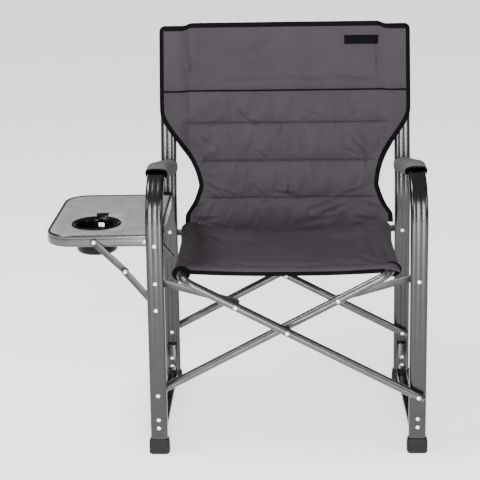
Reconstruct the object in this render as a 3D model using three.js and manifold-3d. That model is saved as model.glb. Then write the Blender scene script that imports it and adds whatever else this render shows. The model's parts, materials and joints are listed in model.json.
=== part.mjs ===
// Folding camping director chair with a padded fabric seat and back, and a side table with a cup holder.
// Millimetres, +Z up. +Y runs from the front legs to the back, +X towards the sitter's left-hand side frame.
// The chair is built about x = 0 midway between its side frames and y = 0 on the front legs' front faces,
// and the last lines move the whole of it over the origin.
import * as THREE from "three";
import { mergeVertices } from "three/addons/utils/BufferGeometryUtils.js";
import Module from "manifold-3d";

const wasm = await Module();
wasm.setup();

// Side frames: a front leg that bends into the armrest, and a rear post that carries the back.
const TUBE = { width: 38, depth: 20, corner: 7 };
const LEG_X = 288; // leg centres from the middle, at the height of the lower cross pivots
const LEAN = 0.009; // the side frames lean inwards by this much for each unit of height
const FRONT_Y = 10;
const REAR_Y = 420;
const TUBE_FOOT_Z = 6.3;
const ARM = { cornerZ: 647, radius: 100, slope: THREE.MathUtils.degToRad(11), endY: 420.5 };
const POST = { bendZ: 512, radius: 250, recline: THREE.MathUtils.degToRad(11), topZ: 893 };
const FOOT = { width: 45, depth: 27, height: 36, corner: 7, pocketGap: 1.8 };
const SIDE_RAIL = { width: 25, depth: 12, z: 30, radius: 26, frontTopZ: 98, rearTopZ: 110, x: 289 };
const PAD = { width: 47, depth: 34, gap: 0.8, startAngle: THREE.MathUtils.degToRad(68), endY: 407 };

// Cross frames: two U-shaped tubes that scissor about the middle and carry the seat on their rails.
const CROSS_R = 9.5;
const PIVOT_Z = 141;
const CENTRE_Z = 294;
const SEAT_REACH = 260.5; // from the centre pivot to a seat rail, along the tube
const TUBE_TAIL = 12; // tube beyond its lower pivot
const CROSS_BEND = 30;
const REAR_BEND_B = 100; // the rear tube of frame b turns forwards early, so that it folds past the leaning post
const CROSS_A_Y = [-10, 400];
const CROSS_B_Y = [30, 440];

// Flat links from the legs to the cross tubes.
const LINK = { z: 403, reach: 126.476, halfWidth: 8, thick: 3, bossR: 5 };

// Side table, its hinge and its two folding braces.
const TABLE = { x0: -530, x1: -275, y0: 36, y1: 398, z0: 477, z1: 503, corner: 60, rim: 12 };
const HINGE_Z = 488;
const RIM_RIVET_INSET = 24; // from the hinge line to the rivet near it in the rim
const PANEL = { z0: 498.5, z1: 501.5, gap: 0.3 };
const CUP = { x: -427, y: 138, r: 46.5, ringR: 56, wall: 2.5, bottomZ: 435, ringZ: 501.8, topZ: 505 };
const BRACE = { reach: 135, legZ: 341.5, slack: 0.3, overlap: 11.5, halfWidth: 7.5, bossR: 3.2 };

// Fabric, as plain solids.
const SEAT = { y0: 35, y1: 372, halfWidth: 247, z0: 428.7, z1: 432.7 };
const BACK = { z0: 436, z1: 900, y: 409.6, halfThick: 5, halfWidth: 226.5, recline: 0.1755 };
const SLEEVE = { z0: 648, z1: 899, outer: 22, inner: 50, halfDepth: 13.5, edge: 5 };

const RIVET = { r: 4.7, height: 2.2, gap: 0.3 };
const X_AXIS = new THREE.Vector3(1, 0, 0);
const X_SIDES = [
  ["left", -1],
  ["right", 1],
];
const ENDS = ["front", "rear"];
const POST_SHIFT = REAR_Y - FRONT_Y; // the rear crosses, links and rivets repeat the front ones this far back

const COLOURS = {
  frame: { color: 0x6b6c6e, roughness: 0.42, metalness: 0.75 },
  strap: { color: 0x77787a, roughness: 0.45, metalness: 0.75 },
  rivet: { color: 0xe4e4e2, roughness: 0.3, metalness: 0.85 },
  rubber: { color: 0x3e3f40, roughness: 0.7, metalness: 0 },
  fabric: { color: 0x575256, roughness: 0.85, metalness: 0 },
  rim: { color: 0x8d8c8b, roughness: 0.35, metalness: 0.8 },
  panel: { color: 0xa4a2a1, roughness: 0.5, metalness: 0.2 },
  cup: { color: 0x1d1d1e, roughness: 0.45, metalness: 0 },
};

const chair = new THREE.Group();

function addMesh(name, geometry, colour, parent = chair) {
  const mesh = new THREE.Mesh(geometry, new THREE.MeshStandardMaterial(COLOURS[colour]));
  mesh.name = name;
  parent.add(mesh);
  return mesh;
}

const legX = (z) => LEG_X - LEAN * (z - PIVOT_Z);

// ---- solids ----

function solidOf(geometry) {
  const bare = new THREE.BufferGeometry();
  bare.setAttribute("position", geometry.getAttribute("position"));
  bare.setIndex(geometry.index);
  const merged = mergeVertices(bare, 1e-4);
  return new wasm.Manifold(
    new wasm.Mesh({
      numProp: 3,
      vertProperties: merged.attributes.position.array,
      triVerts: new Uint32Array(merged.index.array),
    }),
  );
}

function geometryOf(solid) {
  const mesh = solid.getMesh();
  const geometry = new THREE.BufferGeometry();
  geometry.setAttribute("position", new THREE.BufferAttribute(mesh.vertProperties, 3));
  geometry.setIndex(new THREE.BufferAttribute(mesh.triVerts, 1));
  geometry.computeVertexNormals();
  return geometry;
}

const join = (first, ...rest) => geometryOf(rest.reduce((sum, g) => sum.add(solidOf(g)), solidOf(first)));
const cut = (body, tool) => geometryOf(solidOf(body).subtract(solidOf(tool)));

// ---- outlines ----

// A closed rectangle about the origin with a radius at each corner, in the order given by `corners`:
// low x low y, high x low y, high x high y, low x high y.
function roundedOutline(target, x0, y0, x1, y1, corners) {
  const centres = [
    [x0, y0, 1, 1, Math.PI],
    [x1, y0, -1, 1, 1.5 * Math.PI],
    [x1, y1, -1, -1, 0],
    [x0, y1, 1, -1, 0.5 * Math.PI],
  ];
  centres.forEach(([x, y, sx, sy, start], i) => {
    const r = corners[i];
    target.absarc(x + sx * r, y + sy * r, r, start, start + Math.PI / 2, false);
  });
  target.closePath();
  return target;
}

function tubeSection(target, width, depth, corner) {
  const all = [corner, corner, corner, corner];
  return roundedOutline(target, -width / 2, -depth / 2, width / 2, depth / 2, all);
}

// ---- swept tubes ----

// A path that holds a ring of the tube only where it starts, ends or bends.
// With `side` given, the section's x axis stays along it.
class RingPath extends THREE.Curve {
  constructor(rings, side = null) {
    super();
    this.rings = rings;
    this.side = side;
  }
  ringAt(u) {
    return this.rings[Math.round(u * (this.rings.length - 1))];
  }
  getPoint(u, target = new THREE.Vector3()) {
    return target.copy(this.ringAt(u).point);
  }
  getPointAt(u, target) {
    return this.getPoint(u, target);
  }
  getTangentAt(u, target = new THREE.Vector3()) {
    return target.copy(this.ringAt(u).tangent);
  }
  computeFrenetFrames(segments, closed) {
    if (!this.side) return super.computeFrenetFrames(segments, closed);
    const tangents = this.rings.map((ring) => ring.tangent);
    const normals = tangents.map(() => this.side.clone());
    const binormals = tangents.map((t) => new THREE.Vector3().crossVectors(t, this.side));
    return { tangents, normals, binormals };
  }
}

// Rings along a line of corners, with an arc of the given radius at each corner between the ends.
function bentRings(corners, radii, stepsPerBend) {
  const directions = corners.slice(1).map((c, i) => c.clone().sub(corners[i]).normalize());
  const rings = [{ point: corners[0].clone(), tangent: directions[0] }];
  radii.forEach((radius, i) => {
    const [before, after] = [directions[i], directions[i + 1]];
    const turn = before.angleTo(after);
    const inwards = after.clone().addScaledVector(before, -Math.cos(turn)).normalize();
    const start = corners[i + 1].clone().addScaledVector(before, -radius * Math.tan(turn / 2));
    for (let k = 0; k <= stepsPerBend; k++) {
      const a = (turn * k) / stepsPerBend;
      const point = start.clone().addScaledVector(before, radius * Math.sin(a));
      point.addScaledVector(inwards, radius * (1 - Math.cos(a)));
      const tangent = before.clone().multiplyScalar(Math.cos(a)).addScaledVector(inwards, Math.sin(a));
      rings.push({ point, tangent });
    }
  });
  rings.push({ point: corners.at(-1).clone(), tangent: directions.at(-1) });
  return rings;
}

function sweep(shape, rings, side, curveSegments) {
  return new THREE.ExtrudeGeometry(shape, {
    steps: rings.length - 1,
    curveSegments,
    extrudePath: new RingPath(rings, side),
  });
}

// A plate drawn in x and z, from y0 to y1.
function plate(shape, y0, y1, curveSegments = 8) {
  const geometry = new THREE.ExtrudeGeometry(shape, { depth: y1 - y0, bevelEnabled: false, curveSegments });
  return geometry.rotateX(Math.PI / 2).translate(0, y1, 0);
}

// A strap with round ends about two pivots, from y0 to y1.
function strap(from, to, halfWidth, y0, y1) {
  const a = Math.atan2(to[1] - from[1], to[0] - from[0]);
  const shape = new THREE.Shape();
  shape.absarc(from[0], from[1], halfWidth, a + Math.PI / 2, a + 1.5 * Math.PI, false);
  shape.absarc(to[0], to[1], halfWidth, a - Math.PI / 2, a + Math.PI / 2, false);
  shape.closePath();
  return plate(shape, y0, y1, 6);
}

function boss([x, z], radius, y0, y1) {
  return new THREE.CylinderGeometry(radius, radius, y1 - y0, 12).translate(x, (y0 + y1) / 2, z);
}

// A domed rivet head whose flat side lies at y, on the front of what it holds, or on its rear when facing = 1.
function addRivet(name, [x, z], y, facing = -1) {
  const { r, height } = RIVET;
  const profile = [
    [0, 0],
    [r, 0],
    [r * 0.95, height * 0.45],
    [r * 0.62, height * 0.85],
    [0, height],
  ];
  const geometry = new THREE.LatheGeometry(profile.map(([a, b]) => new THREE.Vector2(a, b)), 10);
  geometry.rotateX(facing < 0 ? Math.PI : 0).translate(x, y + facing * RIVET.gap, z);
  addMesh(name, geometry, "rivet");
}

// ---- side frames ----

const yz = (y, z) => new THREE.Vector3(0, y, z - PIVOT_Z);

function armRings() {
  const end = yz(ARM.endY, ARM.cornerZ - (ARM.endY - FRONT_Y) * Math.tan(ARM.slope));
  return bentRings([yz(FRONT_Y, TUBE_FOOT_Z), yz(FRONT_Y, ARM.cornerZ), end], [ARM.radius], 9);
}

// The armrest's own rings, from partway round the bend to just before the rear post.
function padRings() {
  const turn = Math.PI / 2 + ARM.slope;
  const bendZ = ARM.cornerZ - ARM.radius * Math.tan(turn / 2);
  const rings = [];
  const steps = 4;
  for (let k = 0; k <= steps; k++) {
    const a = THREE.MathUtils.lerp(PAD.startAngle, turn, k / steps);
    const y = FRONT_Y + ARM.radius * (1 - Math.cos(a));
    rings.push({
      point: yz(y, bendZ + ARM.radius * Math.sin(a)),
      tangent: new THREE.Vector3(0, Math.sin(a), Math.cos(a)),
    });
  }
  const end = yz(PAD.endY, ARM.cornerZ - (PAD.endY - FRONT_Y) * Math.tan(ARM.slope));
  rings.push({ point: end, tangent: rings.at(-1).tangent });
  return rings;
}

const postY = (z) => REAR_Y + Math.max(0, z - POST.bendZ) * Math.tan(POST.recline);

function postRings() {
  const corners = [yz(REAR_Y, TUBE_FOOT_Z), yz(REAR_Y, POST.bendZ), yz(postY(POST.topZ), POST.topZ)];
  return bentRings(corners, [POST.radius], 3);
}

function footGeometry(side, y) {
  const x = side * legX(0);
  const { width, depth, height, corner } = FOOT;
  const block = new THREE.ExtrudeGeometry(tubeSection(new THREE.Shape(), width, depth, corner), {
    depth: height,
    bevelEnabled: false,
    curveSegments: 3,
  }).translate(x, y, 0);
  const gap = FOOT.pocketGap;
  const section = tubeSection(new THREE.Shape(), TUBE.width + gap, TUBE.depth + gap, TUBE.corner);
  const pocket = new THREE.ExtrudeGeometry(section, { depth: height, bevelEnabled: false, curveSegments: 3 });
  return cut(block, pocket.translate(x, y, TUBE_FOOT_Z - 0.3));
}

function sideRailGeometry(side) {
  const inset = SIDE_RAIL.depth / 2 + 0.3;
  const front = FRONT_Y + TUBE.depth / 2 + inset;
  const rear = REAR_Y - TUBE.depth / 2 - inset;
  const at = (y, z) => new THREE.Vector3(side * SIDE_RAIL.x, y, z);
  const corners = [
    at(front, SIDE_RAIL.frontTopZ),
    at(front, SIDE_RAIL.z),
    at(rear, SIDE_RAIL.z),
    at(rear, SIDE_RAIL.rearTopZ),
  ];
  const section = tubeSection(new THREE.Shape(), SIDE_RAIL.width, SIDE_RAIL.depth, 4);
  return sweep(section, bentRings(corners, [SIDE_RAIL.radius, SIDE_RAIL.radius], 5), X_AXIS, 2);
}

// The back's fabric sleeve about the upper post, widest at the post and thin at its inner seam.
function sleeveGeometry(side) {
  const { outer, inner, halfDepth, edge, z0, z1 } = SLEEVE;
  const half = TUBE.width / 2 + 3;
  const outline = [
    [-outer, -halfDepth],
    [half, -halfDepth],
    [inner, -edge],
    [inner, edge],
    [half, halfDepth],
    [-outer, halfDepth],
  ];
  const shape = new THREE.Shape(outline.map(([x, y]) => new THREE.Vector2(-side * x, y)));
  const bore = new THREE.Path();
  shape.holes.push(tubeSection(bore, TUBE.width + 0.8, TUBE.depth + 0.8, TUBE.corner));
  const tangent = new THREE.Vector3(0, Math.sin(POST.recline), Math.cos(POST.recline));
  const rings = [z0, z1].map((z) => ({ point: yz(postY(z), z), tangent }));
  return sweep(shape, rings, X_AXIS, 2);
}

for (const [word, side] of X_SIDES) {
  const leaning = new THREE.Group();
  leaning.position.set(side * LEG_X, 0, PIVOT_Z);
  leaning.rotation.y = -side * Math.atan(LEAN);
  chair.add(leaning);
  const section = tubeSection(new THREE.Shape(), TUBE.width, TUBE.depth, TUBE.corner);
  addMesh(`${word}_arm_tube`, sweep(section, armRings(), X_AXIS, 3), "frame", leaning);
  addMesh(`${word}_rear_post`, sweep(section, postRings(), X_AXIS, 3), "frame", leaning);
  const padSection = tubeSection(new THREE.Shape(), PAD.width, PAD.depth, 12);
  const bore = tubeSection(new THREE.Path(), TUBE.width + 2 * PAD.gap, TUBE.depth + 2 * PAD.gap, TUBE.corner);
  padSection.holes.push(bore);
  addMesh(`${word}_arm_pad`, sweep(padSection, padRings(), X_AXIS, 3), "fabric", leaning);
  addMesh(`back_sleeve_${word}`, sleeveGeometry(side), "fabric", leaning);
  addMesh(`${word}_front_foot`, footGeometry(side, FRONT_Y), "rubber");
  addMesh(`${word}_rear_foot`, footGeometry(side, REAR_Y), "rubber");
  addMesh(`${word}_side_rail`, sideRailGeometry(side), "frame");
}

// ---- cross frames ----

const pivotReach = Math.hypot(LEG_X, CENTRE_Z - PIVOT_Z);
const slope = { x: LEG_X / pivotReach, z: (CENTRE_Z - PIVOT_Z) / pivotReach };
const railX = SEAT_REACH * slope.x;
const railZ = CENTRE_Z + SEAT_REACH * slope.z;

// side is where the seat rail lies; the tube's lower pivots are on the other side's legs.
function crossFrame(side, [frontY, rearY], rearBend) {
  const lower = (y) => {
    const x = -side * (LEG_X + TUBE_TAIL * slope.x);
    return new THREE.Vector3(x, y, PIVOT_Z - TUBE_TAIL * slope.z);
  };
  const upper = (y) => new THREE.Vector3(side * railX, y, railZ);
  const corners = [lower(frontY), upper(frontY), upper(rearY), lower(rearY)];
  const circle = new THREE.Shape().absarc(0, 0, CROSS_R, 0, 2 * Math.PI, false);
  return sweep(circle, bentRings(corners, [CROSS_BEND, rearBend], 5), null, 6);
}

addMesh("cross_frame_a", crossFrame(-1, CROSS_A_Y, CROSS_BEND), "frame");
addMesh("cross_frame_b", crossFrame(1, CROSS_B_Y, REAR_BEND_B), "frame");

const linkEnd = [LINK.reach * slope.x, CENTRE_Z + LINK.reach * slope.z];
ENDS.forEach((end, i) => {
  const back = i * POST_SHIFT;
  const aFront = CROSS_A_Y[i] - CROSS_R;
  const aRear = CROSS_A_Y[i] + CROSS_R;
  const bFront = CROSS_B_Y[i] - CROSS_R;
  const bRear = CROSS_B_Y[i] + CROSS_R;
  const legFront = FRONT_Y - TUBE.depth / 2 + back;
  const legRear = FRONT_Y + TUBE.depth / 2 + back;
  addMesh(`${end}_cross_spacer`, boss([0, CENTRE_Z], 6, aRear + 0.3, bFront - 0.3), "strap");

  const leftFrom = [-legX(LINK.z), LINK.z];
  const leftTo = [-linkEnd[0], linkEnd[1]];
  const leftY = legRear + 0.5;
  const leftLink = strap(leftFrom, leftTo, LINK.halfWidth, leftY, leftY + LINK.thick);
  const leftBoss = boss(leftTo, LINK.bossR, aRear + 0.3, leftY + 1);
  addMesh(`${end}_link_left`, join(leftLink, leftBoss), "strap");

  const rightFrom = [legX(LINK.z), LINK.z];
  const rightY = bRear + 0.5;
  const rightLink = strap(rightFrom, linkEnd, LINK.halfWidth, rightY, rightY + LINK.thick);
  const rightBoss = boss(rightFrom, LINK.bossR, legRear + 0.3, rightY + 1);
  addMesh(`${end}_link_right`, join(rightLink, rightBoss), "strap");

  addRivet(`${end}_cross_rivet`, [0, CENTRE_Z], aFront);
  addRivet(`${end}_pivot_rivet_left`, [-LEG_X, PIVOT_Z], legFront);
  addRivet(`${end}_pivot_rivet_right`, [LEG_X, PIVOT_Z], aFront);
  addRivet(`${end}_link_rivet_left`, leftFrom, legFront);
  addRivet(`${end}_link_rivet_right`, rightFrom, legFront);
  addRivet(`${end}_tube_rivet_left`, leftTo, aFront);
  addRivet(`${end}_tube_rivet_right`, linkEnd, bFront);
});

// ---- side table ----

const hinge = [-legX(HINGE_Z), HINGE_Z];

function tableOutline(target, inset) {
  const outer = TABLE.corner - inset;
  const corners = [outer, 3, 3, outer];
  const { x0, y0, x1, y1 } = TABLE;
  return roundedOutline(target, x0 + inset, y0 + inset, x1 - inset, y1 - inset, corners);
}

function flatPlate(shape, z0, z1, curveSegments) {
  const options = { depth: z1 - z0, bevelEnabled: false, curveSegments };
  return new THREE.ExtrudeGeometry(shape, options).translate(0, 0, z0);
}

// The rim carries a short round boss at each end of the hinge line, which its rivets pass through.
const rimShape = tableOutline(new THREE.Shape(), 0);
rimShape.holes.push(tableOutline(new THREE.Path(), TABLE.rim));
const legInnerFace = FRONT_Y + TUBE.depth / 2;
const postInnerFace = REAR_Y - TUBE.depth / 2;
const rim = join(
  flatPlate(rimShape, TABLE.z0, TABLE.z1, 6),
  boss(hinge, 6, legInnerFace + 0.3, TABLE.y0 + 1),
  boss(hinge, 6, TABLE.y1 - 1, postInnerFace - 0.3),
);
addMesh("table_rim", rim, "rim");

const panelShape = tableOutline(new THREE.Shape(), TABLE.rim + PANEL.gap);
panelShape.holes.push(new THREE.Path().absarc(CUP.x, CUP.y, CUP.r + 0.7, 0, 2 * Math.PI, true));
addMesh("table_top", flatPlate(panelShape, PANEL.z0, PANEL.z1, 10), "panel");

const cupProfile = [
  [0, CUP.bottomZ],
  [CUP.r - 4, CUP.bottomZ],
  [CUP.r, CUP.bottomZ + 5],
  [CUP.r, CUP.ringZ],
  [CUP.ringR, CUP.ringZ],
  [CUP.ringR, CUP.topZ - 1],
  [CUP.ringR - 2, CUP.topZ],
  [CUP.r - CUP.wall, CUP.topZ],
  [CUP.r - CUP.wall, CUP.bottomZ + 6],
  [CUP.r - CUP.wall - 4, CUP.bottomZ + CUP.wall],
  [0, CUP.bottomZ + CUP.wall],
];
const cupPoints = cupProfile.map(([r, z]) => new THREE.Vector2(r, z));
const cup = new THREE.LatheGeometry(cupPoints, 24).rotateX(Math.PI / 2);
addMesh("cup_holder", cup.translate(CUP.x, CUP.y, 0), "cup");
const tab = new THREE.BoxGeometry(25, 3, 11).translate(CUP.x + 8, CUP.y + 51, CUP.topZ + 5.8);
addMesh("cup_tab", tab, "cup");

// A folding brace of two straps: the lower one turns on the leg, the upper one on the table's rim.
// They lie almost in line when the table is up and beside each other along the leg when it is down.
const rimPivot = [hinge[0] - BRACE.reach, HINGE_Z];
const legPivot = [-legX(BRACE.legZ), BRACE.legZ];
const span = Math.hypot(rimPivot[0] - legPivot[0], rimPivot[1] - legPivot[1]);
const lowerLength = (span + BRACE.slack + BRACE.overlap) / 2;
const upperLength = lowerLength - BRACE.overlap;
const along = (lowerLength ** 2 - upperLength ** 2 + span ** 2) / (2 * span);
const aside = Math.sqrt(lowerLength ** 2 - along ** 2);
const unit = [(rimPivot[0] - legPivot[0]) / span, (rimPivot[1] - legPivot[1]) / span];
const elbow = [
  legPivot[0] + along * unit[0] + aside * unit[1],
  legPivot[1] + along * unit[1] - aside * unit[0],
];

// Depths are counted from the table's rim towards the leg, and mirrored for the rear brace.
// The upper strap lies next to the rim and the lower one nearer the leg, a rivet head's height apart.
for (const [end, rimY, legY, away] of [
  ["front", TABLE.y0, legInnerFace, -1],
  ["rear", TABLE.y1, postInnerFace, 1],
]) {
  const layer = (near, far) => [rimY + away * near, rimY + away * far].sort((a, b) => a - b);
  const upper = strap(elbow, rimPivot, BRACE.halfWidth, ...layer(1, 3.7));
  const lower = strap(legPivot, elbow, BRACE.halfWidth, ...layer(6.8, 9.5));
  const legBoss = boss(legPivot, BRACE.bossR, ...[legY - away * 0.3, rimY + away * 8].sort((a, b) => a - b));
  const elbowBoss = boss(elbow, BRACE.bossR, ...layer(4, 8));
  const rimBoss = boss(rimPivot, BRACE.bossR, ...layer(0.3, 2));
  addMesh(`${end}_brace_lower`, join(lower, legBoss, elbowBoss), "strap");
  addMesh(`${end}_brace_upper`, join(upper, rimBoss), "strap");
  addRivet(`${end}_brace_mid_rivet`, elbow, rimY + away * 9.5, away);
  addRivet(`${end}_brace_rim_rivet`, rimPivot, rimY + away * 3.7, away);
}
for (const [end, y, facing] of [
  ["front", FRONT_Y - TUBE.depth / 2, -1],
  ["rear", REAR_Y + TUBE.depth / 2, 1],
]) {
  addRivet(`${end}_hinge_rivet`, hinge, y, facing);
  addRivet(`${end}_brace_leg_rivet`, legPivot, y, facing);
}
const rimRivet = [hinge[0] - RIM_RIVET_INSET, HINGE_Z];
addRivet("front_rim_rivet", rimRivet, TABLE.y0);
addRivet("rear_rim_rivet", rimRivet, TABLE.y1, 1);

// ---- seat and back ----

// Each half lies between its rail or sleeve and the middle, where the fabric creases as the chair folds.
for (const [word, side] of X_SIDES) {
  const seat = new THREE.BoxGeometry(SEAT.halfWidth - 0.2, SEAT.y1 - SEAT.y0, SEAT.z1 - SEAT.z0);
  const seatX = (side * (SEAT.halfWidth + 0.2)) / 2;
  seat.translate(seatX, (SEAT.y0 + SEAT.y1) / 2, (SEAT.z0 + SEAT.z1) / 2);
  addMesh(`seat_${word}`, seat, "fabric");
  const rise = BACK.z1 - BACK.z0;
  const back = new THREE.BoxGeometry(BACK.halfWidth - 0.2, 2 * BACK.halfThick, rise);
  const shear = new THREE.Matrix4().makeShear(0, 0, 0, 0, 0, BACK.recline);
  back.applyMatrix4(shear);
  back.translate((side * (BACK.halfWidth + 0.2)) / 2, BACK.y + (rise / 2) * BACK.recline, BACK.z0 + rise / 2);
  addMesh(`back_panel_${word}`, back, "fabric");
}

// The origin is the middle of the whole object's footprint, on the floor.
const box = new THREE.Box3().setFromObject(chair);
const middle = box.getCenter(new THREE.Vector3());
chair.position.set(-middle.x, -middle.y, -box.min.z);
const part = new THREE.Group();
part.add(chair);

export default part;
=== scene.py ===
import json
import math
import random

import bmesh
import bpy
import numpy as np
from mathutils import Matrix, Vector
from mathutils.bvhtree import BVHTree


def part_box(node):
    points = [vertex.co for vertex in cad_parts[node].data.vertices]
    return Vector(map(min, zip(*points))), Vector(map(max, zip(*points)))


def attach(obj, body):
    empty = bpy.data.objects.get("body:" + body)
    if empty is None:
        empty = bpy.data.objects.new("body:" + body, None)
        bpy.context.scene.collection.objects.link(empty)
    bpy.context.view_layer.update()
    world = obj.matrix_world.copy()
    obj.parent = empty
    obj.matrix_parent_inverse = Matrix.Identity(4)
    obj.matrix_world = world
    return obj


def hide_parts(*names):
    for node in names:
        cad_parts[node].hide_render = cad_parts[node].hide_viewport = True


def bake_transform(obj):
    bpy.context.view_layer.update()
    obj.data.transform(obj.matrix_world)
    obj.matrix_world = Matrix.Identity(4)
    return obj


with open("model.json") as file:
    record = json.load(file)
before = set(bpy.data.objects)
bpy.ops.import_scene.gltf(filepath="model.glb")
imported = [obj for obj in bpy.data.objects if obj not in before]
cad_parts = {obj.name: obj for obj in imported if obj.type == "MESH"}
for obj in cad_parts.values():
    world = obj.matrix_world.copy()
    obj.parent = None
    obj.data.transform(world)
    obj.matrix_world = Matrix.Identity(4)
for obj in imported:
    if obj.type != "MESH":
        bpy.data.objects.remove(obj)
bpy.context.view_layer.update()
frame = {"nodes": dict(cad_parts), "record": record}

MM = 0.001
ORIGIN = Vector((
    (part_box("left_front_foot")[0].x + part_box("right_front_foot")[1].x) / 2,
    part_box("left_arm_tube")[0].y,
    0.0,
))
SIDES = (("left", -1), ("right", 1))
ENDS = ("front", "rear")

# Side frames: half sizes of the tubes, and where their centre lines run.
TUBE_HALF = (19.0, 10.0)
LEG_X = 288.0
LEAN = math.atan(0.009)
FRONT_Y = 10.0
REAR_Y = 420.0
TUBE_FOOT_Z = 6.3
PIVOT_Z = 141.0
ARM_CORNER_Z = 647.0
ARM_RADIUS = 100.0
ARM_SLOPE = math.radians(11)
ARM_END_Y = 420.5
POST_BEND_Z = 512.0
POST_RADIUS = 250.0
RECLINE = math.radians(11)
POST_TOP_Z = 893.0

# Crossed tubes under the seat.
CROSS_R = 9.5
CENTRE_Z = 294.0
SEAT_REACH = 260.5
TUBE_TAIL = 12.0
CROSS_Y = {"a": (-10.0, 400.0), "b": (30.0, 440.0)}
CROSS_BENDS = {"a": (30.0, 30.0), "b": (30.0, 100.0)}
PIVOT_REACH = math.hypot(LEG_X, CENTRE_Z - PIVOT_Z)
CROSS_DIR = Vector((LEG_X, 0, CENTRE_Z - PIVOT_Z)) / PIVOT_REACH
RAIL_X = SEAT_REACH * CROSS_DIR.x
RAIL_Z = CENTRE_Z + SEAT_REACH * CROSS_DIR.z


def at(x, y, z):
    return ORIGIN + Vector((x, y, z)) * MM


def local_box(node):
    """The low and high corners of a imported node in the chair's own frame."""
    return [(corner - ORIGIN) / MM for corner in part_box(node)]


def centre_of(node):
    low, high = local_box(node)
    return (low + high) / 2


def leg_x(z):
    return LEG_X - math.tan(LEAN) * (z - PIVOT_Z)


def post_y(z):
    return REAR_Y + max(0.0, z - POST_BEND_Z) * math.tan(RECLINE)


def smoothstep(a, b, x):
    """0 up to a and 1 beyond b, or the other way round where a is the larger."""
    t = np.clip((np.asarray(x, float) - a) / (b - a), 0, 1)
    return t * t * (3 - 2 * t)


# ---------------------------------------------------------------- materials


class Nodes:
    """A small helper that adds and links shader nodes."""

    def __init__(self, name):
        self.material = bpy.data.materials.new(name)
        self.material.use_nodes = True
        self.tree = self.material.node_tree
        self.shader = self.tree.nodes["Principled BSDF"]
        self.place = self.add("ShaderNodeTexCoord").outputs["Object"]

    def add(self, kind, **settings):
        node = self.tree.nodes.new(kind)
        for key, value in settings.items():
            setattr(node, key, value)
        return node

    def link(self, out, socket):
        self.tree.links.new(out, socket)

    def feed(self, socket, value):
        """Sets a socket to a number or a colour, or links another node's output to it."""
        if isinstance(value, bpy.types.NodeSocket):
            self.link(value, socket)
        else:
            socket.default_value = (*value, 1.0) if isinstance(value, tuple) else value

    def noise(self, scale, detail=3.0, rough=0.5, stretch=None):
        node = self.add("ShaderNodeTexNoise")
        node.inputs["Scale"].default_value = scale
        node.inputs["Detail"].default_value = detail
        node.inputs["Roughness"].default_value = rough
        source = self.place
        if stretch:
            mapping = self.add("ShaderNodeMapping")
            mapping.inputs["Scale"].default_value = stretch
            self.link(self.place, mapping.inputs["Vector"])
            source = mapping.outputs["Vector"]
        self.link(source, node.inputs["Vector"])
        return node.outputs["Fac"]

    def wave(self, direction, scale):
        node = self.add("ShaderNodeTexWave", bands_direction=direction)
        node.inputs["Scale"].default_value = scale
        node.inputs["Detail"].default_value = 1.0
        self.link(self.place, node.inputs["Vector"])
        return node.outputs["Fac"]

    def math(self, operation, a, b):
        node = self.add("ShaderNodeMath", operation=operation)
        for socket, value in zip(node.inputs, (a, b)):
            self.feed(socket, value)
        return node.outputs[0]

    def ramp(self, fac, stops):
        node = self.add("ShaderNodeValToRGB")
        self.link(fac, node.inputs["Fac"])
        elements = node.color_ramp.elements
        while len(elements) < len(stops):
            elements.new(0.5)
        for element, (position, colour) in zip(elements, stops):
            element.position = position
            element.color = (*colour, 1.0)
        return node.outputs["Color"]

    def mix(self, fac, a, b):
        node = self.add("ShaderNodeMix", data_type="RGBA")
        for index, value in ((0, fac), (6, a), (7, b)):
            self.feed(node.inputs[index], value)
        return node.outputs[2]

    def range(self, fac, low, high):
        node = self.add("ShaderNodeMapRange")
        self.link(fac, node.inputs["Value"])
        node.inputs["To Min"].default_value = low
        node.inputs["To Max"].default_value = high
        return node.outputs["Result"]

    def bump(self, height, strength, distance, below=None):
        node = self.add("ShaderNodeBump")
        node.inputs["Strength"].default_value = strength
        node.inputs["Distance"].default_value = distance
        self.link(height, node.inputs["Height"])
        if below is not None:
            self.link(below, node.inputs["Normal"])
        return node.outputs["Normal"]

    def edges(self):
        """White along worn convex edges, black elsewhere."""
        geometry = self.add("ShaderNodeNewGeometry")
        return self.ramp(geometry.outputs["Pointiness"], [(0.52, (0, 0, 0)), (0.62, (1, 1, 1))])


def scaled(colour, factor):
    return tuple(min(1.0, c * factor) for c in colour)


def metal(name, colour, rough, grain, metallic=1.0, mottled=0.16, streak=None, relief=0.1):
    """Powder-coated or satin metal with a fine grain, faint mottling and paler worn edges."""
    n = Nodes(name)
    cloud = n.noise(38.0, 4.0, 0.6, streak)
    base = n.ramp(cloud, [(0.3, scaled(colour, 1 - mottled)), (0.7, scaled(colour, 1 + mottled))])
    worn = n.math("MULTIPLY", n.edges(), n.noise(160.0, 2.0))
    n.link(n.mix(worn, base, scaled(colour, 1.9)), n.shader.inputs["Base Color"])
    n.link(n.range(n.noise(90.0, 3.0), rough - 0.03, rough + 0.04), n.shader.inputs["Roughness"])
    fine = n.noise(grain, 2.0, 0.5, streak)
    n.link(n.bump(fine, relief, 0.0003, n.bump(cloud, relief * 0.5, 0.0004)), n.shader.inputs["Normal"])
    n.shader.inputs["Metallic"].default_value = metallic
    return n.material


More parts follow.
